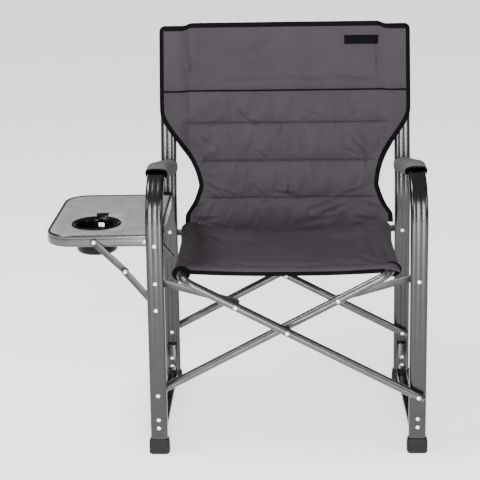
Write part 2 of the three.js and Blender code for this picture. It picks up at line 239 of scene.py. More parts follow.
def plastic(name, colour, rough, grain=420.0, bump=0.2, specular=0.3):
    """Moulded plastic with a fine spark-eroded grain."""
    n = Nodes(name)
    cloud = n.noise(30.0, 3.0)
    base = n.ramp(cloud, [(0.3, scaled(colour, 0.86)), (0.7, scaled(colour, 1.15))])
    worn = n.math("MULTIPLY", n.edges(), n.noise(120.0, 2.0))
    n.link(n.mix(worn, base, scaled(colour, 2.2)), n.shader.inputs["Base Color"])
    n.link(n.range(n.noise(70.0, 2.0), rough - 0.06, rough + 0.08), n.shader.inputs["Roughness"])
    n.link(n.bump(n.noise(grain, 2.0), bump, 0.0003), n.shader.inputs["Normal"])
    n.shader.inputs["Specular IOR Level"].default_value = specular
    return n.material


THREAD = 0.9  # spacing of the fabric's threads


def fabric(name, colour, across, along, thread=THREAD, rough=0.86, depth=0.35, sheen=0.0, specular=0.12):
    """Woven polyester: two crossing sets of threads, soft mottling and a little sheen."""
    n = Nodes(name)
    scale = math.pi / (10 * thread * MM)
    warp = n.wave(across, scale)
    weft = n.wave(along, scale)
    weave = n.math("MULTIPLY", warp, weft)
    threads = n.noise(900.0, 2.0, 0.6)
    cloud = n.noise(14.0, 4.0, 0.6)
    base = n.ramp(cloud, [(0.32, scaled(colour, 0.93)), (0.68, scaled(colour, 1.07))])
    woven = n.mix(n.range(weave, 0.0, 0.16), base, scaled(colour, 1.5))
    n.link(n.mix(n.range(threads, 0.0, 0.18), woven, scaled(colour, 0.6)), n.shader.inputs["Base Color"])
    n.link(n.range(n.noise(60.0, 3.0), rough - 0.06, rough + 0.06), n.shader.inputs["Roughness"])
    n.link(n.bump(weave, depth, 0.00022, n.bump(cloud, 0.15, 0.001)), n.shader.inputs["Normal"])
    n.shader.inputs["Sheen Weight"].default_value = sheen
    n.shader.inputs["Sheen Roughness"].default_value = 0.45
    n.shader.inputs["Specular IOR Level"].default_value = specular
    return n.material


FABRIC_GREY = (0.0425, 0.0365, 0.0433)
SEAT_GREY = (0.0425, 0.0361, 0.0423)
TAPE_BLACK = (0.003, 0.0027, 0.003)
PAINT_GREY = (0.052, 0.052, 0.053)

PAINT = metal("hammered_paint", PAINT_GREY, 0.24, 900.0, mottled=0.06, relief=0.06)
CROSS_PAINT = metal("cross_paint", (0.1, 0.099, 0.099), 0.33, 700.0, relief=0.06)
STRAP_PAINT = metal("strap_paint", (0.055, 0.054, 0.054), 0.38, 800.0, metallic=0.95, mottled=0.2)
RIVET_METAL = metal("rivet_aluminium", (0.86, 0.86, 0.85), 0.22, 600.0, mottled=0.05)
RIM_METAL = metal("rim_aluminium", (0.105, 0.103, 0.102), 0.22, 700.0, mottled=0.06, streak=(0.3, 0.3, 6))
PANEL_TOP = plastic("panel_laminate", (0.25, 0.242, 0.243), 0.5, 1200.0, 0.12)
RUBBER = plastic("foot_rubber", (0.007, 0.007, 0.007), 0.6, specular=0.22)
BLACK_PLASTIC = plastic("cup_black", (0.003, 0.003, 0.0032), 0.22, specular=0.12)
DARK_LINE = plastic("panel_edge_dark_strip", (0.03, 0.03, 0.03), 0.5)
BACK_FABRIC = fabric("back_polyester", FABRIC_GREY, "X", "Z")
SEAT_FABRIC = fabric("seat_polyester", SEAT_GREY, "X", "Y")
ARM_FABRIC = fabric("arm_polyester", (0.104, 0.1, 0.105), "X", "Y")
TAPE = fabric("binding_tape", TAPE_BLACK, "DIAGONAL", "Z", 1.4, 0.75, 0.5, 0.0, 0.045)
# Near-black cloth inside the sleeve mouths: painted shade where the sleeves are dark inside.
SLEEVE_SHADE = fabric("sleeve_painted_shade", (0.006, 0.006, 0.006), "X", "Z", 1.0, 0.9, 0.2, 0.0)
THREAD_GREY = fabric("sewing_thread", (0.03, 0.026, 0.03), "DIAGONAL", "Z", 0.4, 0.6, 0.3, 0.2)
THREAD_BLACK = fabric("black_thread", (0.01, 0.009, 0.01), "DIAGONAL", "Z", 0.4, 0.55, 0.3, 0.2)


# ---------------------------------------------------------------- meshes


def new_piece(name, verts, faces, material, smooth_angle=40.0):
    mesh = bpy.data.meshes.new(name)
    mesh.from_pydata([tuple(v) for v in verts], [], faces)
    bm = bmesh.new()
    bm.from_mesh(mesh)
    bmesh.ops.recalc_face_normals(bm, faces=bm.faces)
    bm.to_mesh(mesh)
    bm.free()
    mesh.materials.append(material)
    mesh.polygons.foreach_set("use_smooth", [True] * len(mesh.polygons))
    if smooth_angle:
        mesh.set_sharp_from_angle(angle=math.radians(smooth_angle))
    obj = bpy.data.objects.new(name, mesh)
    bpy.context.scene.collection.objects.link(obj)
    return obj


def settled_mesh(obj):
    """A mesh with the object's modifiers applied."""
    evaluated = obj.evaluated_get(bpy.context.evaluated_depsgraph_get())
    return bpy.data.meshes.new_from_object(evaluated)


class Builder:
    """Collects closed shells into one mesh."""

    def __init__(self):
        self.verts = []
        self.faces = []

    def add(self, verts, faces):
        start = len(self.verts)
        self.verts += [Vector(v) for v in verts]
        self.faces += [tuple(i + start for i in f) for f in faces]

    def loft(self, loops, closed=False):
        """Skins equal loops of points, and caps both ends unless the loft closes on itself."""
        n = len(loops[0])
        verts = [p for loop in loops for p in loop]
        faces = []
        count = len(loops)
        for i in range(count if closed else count - 1):
            a, b = i * n, ((i + 1) % count) * n
            faces += [(a + k, a + (k + 1) % n, b + (k + 1) % n, b + k) for k in range(n)]
        if not closed:
            faces.append(tuple(reversed(range(n))))
            faces.append(tuple(range((count - 1) * n, count * n)))
        self.add(verts, faces)

    def piece(self, name, material, smooth_angle=40.0):
        return new_piece(name, self.verts, self.faces, material, smooth_angle)


def place(obj, body, slot, *nodes):
    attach(obj, body)
    if nodes:
        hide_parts(*nodes)
    return obj


def bent_path(corners, radii, steps=14, spacing=40.0):
    """(point, tangent) pairs along a line of corners with an arc at each inner corner."""
    corners = [Vector(c) for c in corners]
    dirs = [(b - a).normalized() for a, b in zip(corners, corners[1:])]
    path = [(corners[0], dirs[0])]

    def straight(to, direction):
        start = path[-1][0]
        count = int((to - start).length / spacing)
        for k in range(1, count):
            path.append((start.lerp(to, k / count), direction))

    for i, radius in enumerate(radii):
        before, after = dirs[i], dirs[i + 1]
        turn = before.angle(after)
        inward = (after - before * math.cos(turn)).normalized()
        start = corners[i + 1] - before * radius * math.tan(turn / 2)
        straight(start, before)
        for k in range(steps + 1):
            a = turn * k / steps
            point = start + before * radius * math.sin(a) + inward * radius * (1 - math.cos(a))
            path.append((point, before * math.cos(a) + inward * math.sin(a)))
    straight(corners[-1], dirs[-1])
    path.append((corners[-1], dirs[-1]))
    return path


def framed(path, across=None):
    """Adds the two section axes to each (point, tangent): a fixed one, or ones carried along the path."""
    rings = []
    carried = across or path[0][1].orthogonal().normalized()
    for point, tangent in path:
        if across is None:
            carried = (carried - tangent * carried.dot(tangent)).normalized()
        rings.append((point, carried, tangent.cross(carried)))
    return rings


def section_loops(rings, section):
    return [[at(*(p + u * a + v * b)) for a, b in section] for p, u, v in rings]


def arc(x, y, radius, start, turn, steps):
    """Points from start through turn, both in half circles, about a centre."""
    angles = [math.pi * (start + turn * k / steps) for k in range(steps + 1)]
    return [(x + radius * math.cos(a), y + radius * math.sin(a)) for a in angles]


def circle(radius, count):
    return arc(0, 0, radius, 0, 2, count)[:-1]


def rounded_rectangle(half_w, half_h, corner, steps=5):
    points = []
    for quarter, (sx, sy) in enumerate(((1, 1), (-1, 1), (-1, -1), (1, -1))):
        centre = (sx * (half_w - corner), sy * (half_h - corner))
        points += arc(*centre, corner, quarter / 2, 0.5, steps)
    return points


FLUTE_PITCH = 11.2
FLUTE_DEPTH = 0.36
FLUTED_CORNER = 7.0


def fluted_section():
    """A flat oval tube whose wide faces carry three crowned ribs with grooves between them."""
    half_w, half_h = TUBE_HALF
    flat = half_w - FLUTED_CORNER

    def face(x):
        rib = min((-FLUTE_PITCH, 0.0, FLUTE_PITCH), key=lambda centre: abs(x - centre))
        return half_h - FLUTE_DEPTH * min(1.0, abs(x - rib) / (FLUTE_PITCH / 2)) ** 2

    xs = [flat - 2 * flat * k / 30 for k in range(1, 30)]
    points = []
    for sign, start in ((1, 0.0), (-1, 1.0)):
        y = sign * (half_h - FLUTED_CORNER)
        points += arc(sign * flat, y, FLUTED_CORNER, start, 0.5, 6)
        points += [(sign * x, sign * face(x)) for x in xs]
        points += arc(-sign * flat, y, FLUTED_CORNER, start + 0.5, 0.5, 6)
    return points


# ---------------------------------------------------------------- frame


def leaning_path(side, path):
    """Moves a path drawn at x = 0 onto a side frame that leans inwards."""
    turn = Matrix.Rotation(-side * LEAN, 3, "Y")
    base = Vector((side * LEG_X, 0, PIVOT_Z))
    leaning = [(base + turn @ (p - Vector((0, 0, PIVOT_Z))), turn @ t) for p, t in path]
    return leaning, turn @ Vector((1, 0, 0))


def arm_corners():
    end_z = ARM_CORNER_Z - (ARM_END_Y - FRONT_Y) * math.tan(ARM_SLOPE)
    return [(0, FRONT_Y, TUBE_FOOT_Z), (0, FRONT_Y, ARM_CORNER_Z), (0, ARM_END_Y, end_z)]


def make_side_frame(word, side):
    section = fluted_section()
    body = f"{word}_frame"
    post = [(0, REAR_Y, TUBE_FOOT_Z), (0, REAR_Y, POST_BEND_Z), (0, post_y(POST_TOP_Z), POST_TOP_Z)]
    runs = (
        ("arm_tube", bent_path(arm_corners(), [ARM_RADIUS], 24)),
        ("rear_post", bent_path(post, [POST_RADIUS])),
    )
    for part, line in runs:
        path, across = leaning_path(side, line)
        shell = Builder()
        shell.loft(section_loops(framed(path, across), section))
        node = f"{word}_{part}"
        place(shell.piece(f"{node}_fluted", PAINT, 60), body, "frame_tube", node)
    make_side_rail(word, side, body)


# The lower side rails, and the heights of the rivets at their turned-up ends.
RAIL_RIVETS = {"front": (83.0, 63.0), "rear": (76.0, 55.0)}
SIDE_RAIL = {"half": (12.5, 6.0), "z": 30.0, "radius": 26.0, "x": 289.0, "tops": (98.0, 110.0)}


def make_side_rail(word, side, body):
    half_w, half_h = SIDE_RAIL["half"]
    inset = half_h + 0.3
    front = FRONT_Y + TUBE_HALF[1] + inset
    rear = REAR_Y - TUBE_HALF[1] - inset
    x, z = side * SIDE_RAIL["x"], SIDE_RAIL["z"]
    corners = [(x, front, SIDE_RAIL["tops"][0]), (x, front, z), (x, rear, z), (x, rear, SIDE_RAIL["tops"][1])]
    path = bent_path(corners, [SIDE_RAIL["radius"]] * 2, 10)
    shell = Builder()
    rings = framed(path, Vector((1, 0, 0)))
    section = rounded_rectangle(half_w, half_h, 4.5)
    loops = section_loops(rings, section)
    for index, towards in ((0, 1), (-1, -2)):
        p, u, v = rings[index]
        tip = (p - rings[towards][0]).normalized() * 1.2
        cap = section_loops([(p + tip, u, v)], rounded_rectangle(half_w - 1.2, half_h - 1.2, 3.5))[0]
        loops = [cap, *loops] if index == 0 else [*loops, cap]
    shell.loft(loops)
    node = f"{word}_side_rail"
    place(shell.piece(f"{node}_oval", PAINT, 60), body, "frame_tube", node)
    for end, face in (("front", 0.0), ("rear", rear - half_h)):
        for number, height in enumerate(RAIL_RIVETS[end], 1):
            rivet = Builder()
            add_rivet(rivet, side * leg_x(height), face, height, -1)
            place(rivet.piece(f"{word}_{end}_rail_rivet_{number}", RIVET_METAL, 60), body, "rivet")


RIVET_PROFILE = (  # radius and height
    (4.9, 0.0), (4.9, 0.45), (4.5, 0.85), (3.9, 1.5), (2.9, 2.05), (1.7, 2.35), (1.1, 2.38), (0.8, 2.0),
)


def add_rivet(shell, x, y, z, facing):
    """A domed head with a rolled foot and a small dimple, its foot on the plane at y."""
    shell.loft([
        [at(x + a, y + facing * height, z + b) for a, b in circle(radius, 28)]
        for radius, height in RIVET_PROFILE
    ])


REAR_FACING = ("rear_hinge", "rear_brace", "rear_rim")


def make_rivets():
    bodies = frame["record"]["behaviour"]["bodies"]
    body_of_node = {node: body for body, nodes in bodies.items() for node in nodes}
    for node in sorted(frame["nodes"]):
        if "_rivet" not in node:
            continue
        low, high = local_box(node)
        facing = 1 if node.startswith(REAR_FACING) else -1
        middle = (low + high) / 2
        foot = (low.y if facing > 0 else high.y) - facing * 0.35
        shell = Builder()
        add_rivet(shell, middle.x, foot, middle.z, facing)
        place(shell.piece(f"{node}_head", RIVET_METAL, 60), body_of_node[node], "rivet", node)


FOOT_PROFILE = (  # height, and how far the wall stands in from the cap's full size
    (0.0, 3.2), (0.5, 1.8), (1.8, 0.5), (3.6, -0.4), (6.0, -0.7), (8.0, -0.5), (9.0, 0.1), (10.2, 0.1),
    (11.2, -0.5), (16.0, -0.8), (23.0, -0.5), (29.0, 0.1), (33.2, 0.7), (35.0, 1.3), (35.8, 2.0), (36.0, 2.8),
)


def make_foot(word, side, end):
    node = f"{word}_{end}_foot"
    low, high = local_box(node)
    centre = (low + high) / 2
    half = (high - low) / 2
    outer = [(height, inset, 7.5 - inset * 0.6) for height, inset in FOOT_PROFILE]
    mouth = [(34.5, 3.1, 6.0), (30.0, 3.1, 6.0)]
    shell = Builder()
    shell.loft([
        [at(centre.x + a, centre.y + b, height)
         for a, b in rounded_rectangle(half.x - inset, half.y - inset, corner)]
        for height, inset, corner in outer + mouth
    ])
    place(shell.piece(f"{node}_cap", RUBBER, 50), f"{word}_frame", "foot_cap", node)


TUBE_END = ((0.7, 9.1), (1.1, 8.2), (1.0, 6.8), (-2.0, 6.4))  # depth past the end, and radius


def make_cross_frame(name, side):
    front_y, rear_y = CROSS_Y[name]
    tail = TUBE_TAIL * CROSS_DIR

    def lower(y):
        return Vector((-side * (LEG_X + tail.x), y, PIVOT_Z - tail.z))

    def upper(y):
        return Vector((side * RAIL_X, y, RAIL_Z))

    corners = [lower(front_y), upper(front_y), upper(rear_y), lower(rear_y)]
    path = bent_path(corners, CROSS_BENDS[name], 14)
    rings = framed(path)
    loops = section_loops(rings, circle(CROSS_R, 28))
    first, last = rings[0], rings[-1]
    start_dir, end_dir = -path[0][1], path[-1][1]
    for depth, radius in TUBE_END:
        ring = circle(radius, 28)
        loops.insert(0, section_loops([(first[0] + start_dir * depth, *first[1:])], ring)[0])
        loops.append(section_loops([(last[0] + end_dir * depth, *last[1:])], ring)[0])
    shell = Builder()
    shell.loft(loops)
    node = f"cross_frame_{name}"
    place(shell.piece(f"{node}_tube", CROSS_PAINT, 60), f"cross_{name}", "frame_tube", node)


STRAP_EDGE = 0.55


def add_strap(shell, start, end, half_width, y0, y1):
    """A flat bar with round ends about two points in x and z, its edges eased."""
    angle = math.atan2(end[1] - start[1], end[0] - start[0])

    def outline(inset, y):
        points = []
        for centre, turn in ((end, -0.5), (start, 0.5)):
            for k in range(17):
                a = angle + math.pi * (turn + k / 16)
                r = half_width - inset
                points.append(at(centre[0] + r * math.cos(a), y, centre[1] + r * math.sin(a)))
        return points

    e = STRAP_EDGE
    shell.loft([outline(e, y0), outline(0.15, y0 + 0.3 * e), outline(0, y0 + e),
                outline(0, y1 - e), outline(0.15, y1 - 0.3 * e), outline(e, y1)])


def add_boss(shell, x, z, radius, y0, y1, edge=0.5):
    rings = ((radius - edge, y0), (radius, y0 + edge), (radius, y1 - edge), (radius - edge, y1))
    shell.loft([[at(x + a, y, z + b) for a, b in circle(r, 24)] for r, y in rings])


def make_links():
    for end in ENDS:
        for word, _ in SIDES:
            node = f"{end}_link_{word}"
            leg = centre_of(f"{end}_link_rivet_{word}")
            tube = centre_of(f"{end}_tube_rivet_{word}")
            low, high = local_box(node)
            shell = Builder()
            add_strap(shell, (leg.x, leg.z), (tube.x, tube.z), 8.0, high.y - 3, high.y)
            boss = tube if word == "left" else leg
            add_boss(shell, boss.x, boss.z, 5.0, low.y, high.y - 2)
            place(shell.piece(f"{node}_strap", STRAP_PAINT, 50), node, "flat_strap", node)
        node = f"{end}_cross_spacer"
        low, high = local_box(node)
        middle = (low + high) / 2
        spacer = Builder()
        add_boss(spacer, middle.x, middle.z, 6.0, low.y, high.y, 0.8)
        place(spacer.piece(f"{node}_washer", STRAP_PAINT, 50), "cross_a", "flat_strap", node)


# ---------------------------------------------------------------- side table

RIM_SECTION = (  # distance in from the outline, and height above the rim's foot
    (12.0, 0.6), (11.2, 0.0), (3.0, 0.0), (1.4, 0.4), (0.5, 1.3), (0.1, 2.6), (0.0, 3.2),
    (0.9, 3.6), (0.9, 4.4), (0.0, 4.8), (-0.3, 8.0), (-0.4, 11.0), (-0.3, 14.5), (0.0, 17.2),
    (1.1, 17.6), (1.1, 18.5), (0.0, 18.9), (-0.1, 21.0), (0.1, 23.4), (0.8, 25.2), (2.0, 26.1),
    (3.2, 26.3), (4.3, 25.9), (4.9, 25.1), (5.0, 22.6), (5.6, 21.4), (11.4, 21.4), (12.0, 20.8),
)
RIM_ENDS = (36.0, 398.0)  # the rim's front and rear sides, in y
TABLE_CORNERS = (60.0, 3.0, 3.0, 60.0)
# A thin near-black strip round the panel's edge, in the gap under the rim's lip: distance in from the
# outline, and height above the rim's foot.
PANEL_EDGE_STRIP = ((4.95, 22.4), (4.95, 24.9), (5.5, 25.2), (6.3, 25.2), (6.8, 24.8), (6.8, 22.4))
PANEL_INSET = 6.6


def table_outline(low, high, inset, steps=14):
    """Points round the table's edge, with its two outer corners generously rounded."""
    x0, y0, x1, y1 = low.x + inset, low.y + inset, high.x - inset, high.y - inset
    points = []
    quarters = ((x0, y0, 1, 1, 1.0), (x1, y0, -1, 1, 1.5), (x1, y1, -1, -1, 0.0), (x0, y1, 1, -1, 0.5))
    for (x, y, sx, sy, start), corner in zip(quarters, TABLE_CORNERS):
        r = max(corner - inset, 0.6)
        points += arc(x + sx * r, y + sy * r, r, start, 0.5, steps)
    return points


CUP = {"hole": 46.5, "ring": 56.0, "wall": 2.5}
CUP_WINDOW = {"x": 5.5, "z": 487.5, "half": (6.6, 4.8)}


def make_table():
    low, high = local_box("table_rim")
    low.y, high.y = RIM_ENDS

    def ringed(section):
        return [[at(x, y, low.z + h) for x, y in table_outline(low, high, inset)] for inset, h in section]

    rim = Builder()
    rim.loft(ringed(RIM_SECTION), closed=True)
    hinge = centre_of("front_hinge_rivet")
    for y0, y1 in ((FRONT_Y + 10.3, low.y + 1), (high.y - 1, REAR_Y - 10.3)):
        add_boss(rim, hinge.x, hinge.z, 6.0, y0, y1, 0.8)
    place(rim.piece("table_rim_extrusion", RIM_METAL, 45), "table", "table_rim", "table_rim")

    # A thin near-black strip runs round the panel's edge, between the panel and the rim's lip.
    edge_strip = Builder()
    edge_strip.loft(ringed(PANEL_EDGE_STRIP), closed=True)
    place(edge_strip.piece("table_panel_dark_strip", DARK_LINE, 60), "table", "table_panel")

    cup = centre_of("cup_holder")
    make_panel(low, high, cup)
    make_cup(cup)


def ring_points(outline, centre, radius):
    """Points of a circle in the same directions as an outline's points, seen from the circle's centre."""
    points = []
    for x, y in outline:
        a = math.atan2(y - centre.y, x - centre.x)
        points.append((centre.x + radius * math.cos(a), centre.y + radius * math.sin(a)))
    return points


def dense(outline, step=6.0):
    points = []
    for (x0, y0), (x1, y1) in zip(outline, outline[1:] + outline[:1]):
        count = max(1, round(math.hypot(x1 - x0, y1 - y0) / step))
        points += [(x0 + (x1 - x0) * k / count, y0 + (y1 - y0) * k / count) for k in range(count)]
    return points


def make_panel(low, high, cup):
    """The table's top, a thin laminated board with a round hole for the cup holder."""
    outline = dense(table_outline(low, high, PANEL_INSET, 8))
    hole = ring_points(outline, cup, CUP["hole"] + 0.7)
    top, foot = low.z + 24.5, low.z + 21.5
    mids = [[(a[0] * (1 - t) + b[0] * t, a[1] * (1 - t) + b[1] * t) for a, b in zip(outline, hole)]
            for t in (0.005, 0.25, 0.5, 0.75)]
    loops = [[at(x, y, foot) for x, y in hole], [at(x, y, foot) for x, y in outline],
             [at(x, y, top - 0.4) for x, y in outline]]
    loops += [[at(x, y, top) for x, y in ring] for ring in mids]
    loops += [[at(x, y, top) for x, y in hole]]
    panel = Builder()
    panel.loft(loops, closed=True)
    place(panel.piece("table_top_board", PANEL_TOP, 40), "table", "table_panel", "table_top")


def cut_window(holder, cup):
    """Opens a small square window through the far wall of the cup holder, under its tab."""
    x, z = cup.x + CUP_WINDOW["x"], CUP_WINDOW["z"]
    half_w, half_h = CUP_WINDOW["half"]
    block = Builder()
    block.loft([[at(x + a, y, z + b) for a, b in rounded_rectangle(half_w, half_h, 1.5, 3)]
                for y in (cup.y + 30, cup.y + 60)])
    cutter = block.piece("window_cutter", BLACK_PLASTIC, 0)
    modifier = holder.modifiers.new("Window", "BOOLEAN")
    modifier.operation = "DIFFERENCE"
    modifier.solver = "EXACT"
    modifier.object = cutter
    holder.data = settled_mesh(holder)
    holder.modifiers.clear()
    bpy.data.objects.remove(cutter)


def make_cup(cup):
    low, high = local_box("cup_holder")
    hole, ring, wall = CUP["hole"], CUP["ring"], CUP["wall"]
    foot, top = low.z + 5.0, high.z
    profile = [
        (2.0, foot + 0.8), (12.0, foot + 0.2), (hole - 8, foot), (hole - 5, foot + 0.4),
        (hole - 2.2, foot + 2.4), (hole - 0.6, foot + 6), (hole, foot + 12), (hole, top - 4),
        (hole + 1, top - 3.2), (ring - 1.2, top - 3.2), (ring - 0.2, top - 2.6), (ring, top - 1.6),
        (ring - 0.6, top - 0.6), (ring - 1.8, top), (ring - 3.2, top), (ring - 4.6, top - 0.5),
        (hole + 1.0, top - 2.1), (hole - wall + 0.6, top - 4.6), (hole - wall, top - 9),
        (hole - wall - 2.0, foot + 14), (hole - wall - 3.2, foot + 7), (hole - wall - 6, foot + 4),
        (hole - wall - 10, foot + wall), (2.0, foot + wall),
    ]
    shell = Builder()
    shell.loft([[at(cup.x + a, cup.y + b, z) for a, b in circle(r, 72)] for r, z in profile], closed=True)
    holder = shell.piece("cup_holder_moulded", BLACK_PLASTIC, 50)
    cut_window(holder, cup)
    place(holder, "table", "cup_plastic", "cup_holder")
    make_cup_tab()


def make_cup_tab():
    """A small tongue behind the cup holder that widens and leans back as it rises."""
    low, high = local_box("cup_tab")
    middle = (low + high) / 2
    tab = Builder()
    loops = []
    steps = 8
    for k in range(steps + 1):
        s = k / steps
        at_end = k in (0, steps)
        half = 10.5 + 4.5 * s - (1.6 if at_end else 0)
        thick = 1.5 - (0.5 if at_end else 0)
        y = middle.y - 3.0 + 6.0 * s * s
        z = low.z - 5.0 + (high.z - low.z + 1.0) * s
        outline = rounded_rectangle(half, thick, min(1.0, thick - 0.1), 3)
        loops.append([at(middle.x + a, y + b, z) for a, b in outline])
    tab.loft(loops)
    place(tab.piece("cup_tab_moulded", BLACK_PLASTIC, 50), "table", "cup_plastic", "cup_tab")


def make_braces():
    tube_half = TUBE_HALF[1]
    for end, rim_y, away, leg_y in zip(ENDS, RIM_ENDS, (-1, 1), (FRONT_Y + tube_half, REAR_Y - tube_half)):
        leg = centre_of(f"{end}_brace_leg_rivet")
        elbow = centre_of(f"{end}_brace_mid_rivet")
        rim = centre_of(f"{end}_brace_rim_rivet")

        def layer(near, far):
            return sorted((rim_y + away * near, rim_y + away * far))

        upper = Builder()
        add_strap(upper, (elbow.x, elbow.z), (rim.x, rim.z), 7.5, *layer(1, 3.7))
        add_boss(upper, rim.x, rim.z, 3.2, *layer(0.3, 2))
        node = f"{end}_brace_upper"
        place(upper.piece(f"{node}_strap", STRAP_PAINT, 50), node, "flat_strap", node)
        lower = Builder()
        add_strap(lower, (leg.x, leg.z), (elbow.x, elbow.z), 7.5, *layer(6.8, 9.5))
        add_boss(lower, elbow.x, elbow.z, 3.2, *layer(4, 8))
        add_boss(lower, leg.x, leg.z, 3.2, *sorted((leg_y - away * 0.3, rim_y + away * 8)))
        node = f"{end}_brace_lower"
        place(lower.piece(f"{node}_strap", STRAP_PAINT, 50), node, "flat_strap", node)


# ---------------------------------------------------------------- fabric

CLOTH_FRAMES = 20
FRONTWARDS = Vector((0, -1, 0))
UPWARDS = Vector((0, 0, 1))


def inflate(obj, pinned, pressure, growth, cap):
    """Blows a closed fabric shell up a little by cloth simulation, by no more than cap at any point.

    pinned holds a weight per vertex.
    """
    group = obj.vertex_groups.new(name="pinned")
    for index, weight in enumerate(pinned):
        group.add([index], float(weight), "REPLACE")
    rest = np.array([v.co for v in obj.data.vertices])
    cloth = obj.modifiers.new("Cloth", "CLOTH")
    settings = cloth.settings
    settings.quality = 5
    settings.mass = 0.3
    settings.tension_stiffness = 25
    settings.compression_stiffness = 12
    settings.shear_stiffness = 6
    settings.bending_stiffness = 0.4
    settings.use_pressure = True
    settings.uniform_pressure_force = pressure
    settings.vertex_group_mass = "pinned"
    settings.shrink_min = -growth
    settings.effector_weights.gravity = 0
    scene = bpy.context.scene
    for step in range(1, CLOTH_FRAMES + 1):
        scene.frame_set(step)
    evaluated = obj.evaluated_get(bpy.context.evaluated_depsgraph_get())
    moved = np.array([v.co for v in evaluated.data.vertices])
    obj.modifiers.remove(cloth)
    scene.frame_set(1)
    shift = moved - rest
    length = np.linalg.norm(shift, axis=1, keepdims=True)
    shift *= np.minimum(1.0, cap * MM / np.maximum(length, 1e-9))
    obj.data.vertices.foreach_set("co", (rest + shift).ravel())
    obj.data.update()
    obj.vertex_groups.clear()


def subdivide(obj, levels=1):
    modifier = obj.modifiers.new("Subdivision", "SUBSURF")
    modifier.levels = modifier.render_levels = levels
    mesh = settled_mesh(obj)
    obj.modifiers.clear()
    old, obj.data = obj.data, mesh
    name = old.name
    bpy.data.meshes.remove(old)
    mesh.name = name


def two_sided_grid(front, rear):
    """Closes two equal grids of points, which share their border, into one shell."""
    rows, cols = front.shape[:2]
    verts = [Vector(p) for p in front.reshape(-1, 3)]
    rear_index = {}
    for i in range(rows):
        for j in range(cols):
            if i in (0, rows - 1) or j in (0, cols - 1):
                rear_index[i, j] = i * cols + j
            else:
                rear_index[i, j] = len(verts)
                verts.append(Vector(rear[i, j]))
    faces = []
    for i in range(rows - 1):
        for j in range(cols - 1):
            quad = ((i, j), (i, j + 1), (i + 1, j + 1), (i + 1, j))
            faces.append(tuple(a * cols + b for a, b in quad))
            faces.append(tuple(rear_index[q] for q in reversed(quad)))
    return verts, faces, rear_index


BACK_BOTTOM_Z = 397.0
BACK_TOP_Z = 905.0
PIPING_Z = 745.0
BACK_SEAMS = (668.0, 577.0, 489.0)
SLEEVE_SEAM_X = 230.0
SLEEVE_FOOT = (678.0, 692.0)
SLEEVE_HALF_W = 21.6
SLEEVE_DEPTH = 13.4
WING_MIDDLE = 13.3
WING_HALF = 2.0
BACK_OUTLINE = (  # height, half width
    (395, 254.8), (427, 253.4), (445, 247.7), (465, 239.3), (490, 228.7), (518, 218.8),
    (550, 224.9), (575, 233.9), (597, 244.6), (625, 262.5), (650, 281.2), (668, 293.1),
    (682, 300), (692, 304), (720, 304.4), (915, 302.6),
)
EDGE_STEPS = (0.0, 0.6, 1.9, 4.2, 7.2, 10.4, 11.3, 15.0)
TAPE_STEPS = 6
SEAM_STEPS = (0.0, 0.9, 2.8, 6.2)
BACK_COLS = 46  # columns from the tape to the middle
BACK_CORNER = 14.0


def spread(low, high, start, end, step):
    """Values from low to high: graded ones near each end and even ones in between."""
    first = [low + o for o in start]
    final = [high - o for o in reversed(end)]
    count = max(1, round((final[0] - first[-1]) / step))
    middle = [first[-1] + (final[0] - first[-1]) * k / count for k in range(1, count)]
    return first + middle + final


def back_rows():
    marks = [BACK_BOTTOM_Z, *sorted(BACK_SEAMS), PIPING_Z, BACK_TOP_Z]
    rows = []
    for i, (low, high) in enumerate(zip(marks, marks[1:])):
        start = EDGE_STEPS if i == 0 else SEAM_STEPS
        end = EDGE_STEPS if i == len(marks) - 2 else SEAM_STEPS
        part = spread(low, high, start, end, 5.6)
        rows += part if i == 0 else part[1:]
    return np.array(rows)


def back_half_width(z):
    heights, widths = zip(*BACK_OUTLINE)
    offsets = np.linspace(-10, 10, 9)
    weights = np.exp(-((offsets / 4.0) ** 2))
    z = np.asarray(z, float)
    return sum(w * np.interp(z + o, heights, widths) for w, o in zip(weights, offsets)) / weights.sum()


def back_shift(nominal):
    """The lower half of the back hangs a little to the right."""
    return 8.0 * smoothstep(650, 510, nominal)


def back_z(x, nominal):
    """The true height of a row: seams sag a little mid-way, the top drops over the sleeves."""
    x = np.abs(x)
    sag = 2.5 * (1 - (x / 300.0) ** 2) * smoothstep(430, 488, nominal) * (1 - smoothstep(745, 890, nominal))
    top_drop = 7.0 * smoothstep(224, 244, x) * smoothstep(850, 905, nominal)
    corner = 14.0 * smoothstep(150, 200, x) + 14.0 * smoothstep(200, 218, x)
    rise = corner * (1 - smoothstep(397, 484, nominal))
    return nominal - sag - top_drop + rise


def back_middle_y(x, z):
    """The fabric's middle surface: a slightly hollow plane between the posts, and on the posts beyond."""
    plane = 409.6 + 0.1755 * (z - 436)
    tall = smoothstep(430, 560, z) * (1 - 0.6 * smoothstep(800, 905, z))
    hollow = 6.0 * (1 - (np.abs(x) / 240) ** 2).clip(0, 1) * tall
    post = REAR_Y + np.maximum(0, z - POST_BEND_Z) * math.tan(RECLINE)
    out = smoothstep(215, 255, np.abs(x))
    return (plane + hollow) * (1 - out) + post * out


def back_puff(nominal):
    """0 on a quilting seam or edge and 1 in the middle of a channel. The top band is the flattest."""
    lines = [BACK_BOTTOM_Z - 12, *sorted(BACK_SEAMS), PIPING_Z, BACK_TOP_Z + 4]
    heights = (0.9, 1.0, 1.0, 0.85, 0.5)
    puff = np.zeros_like(nominal)
    for low, high, height in zip(lines, lines[1:], heights):
        t = ((nominal - low) / (high - low)).clip(0, 1)
        inside = (nominal >= low) & (nominal <= high)
        puff = np.where(inside, height * (1 - np.abs(2 * t - 1) ** 4), puff)
    return puff


def seam_dip(nominal):
    return sum(np.exp(-(((nominal - s) / 1.9) ** 2)) for s in (*BACK_SEAMS, PIPING_Z))


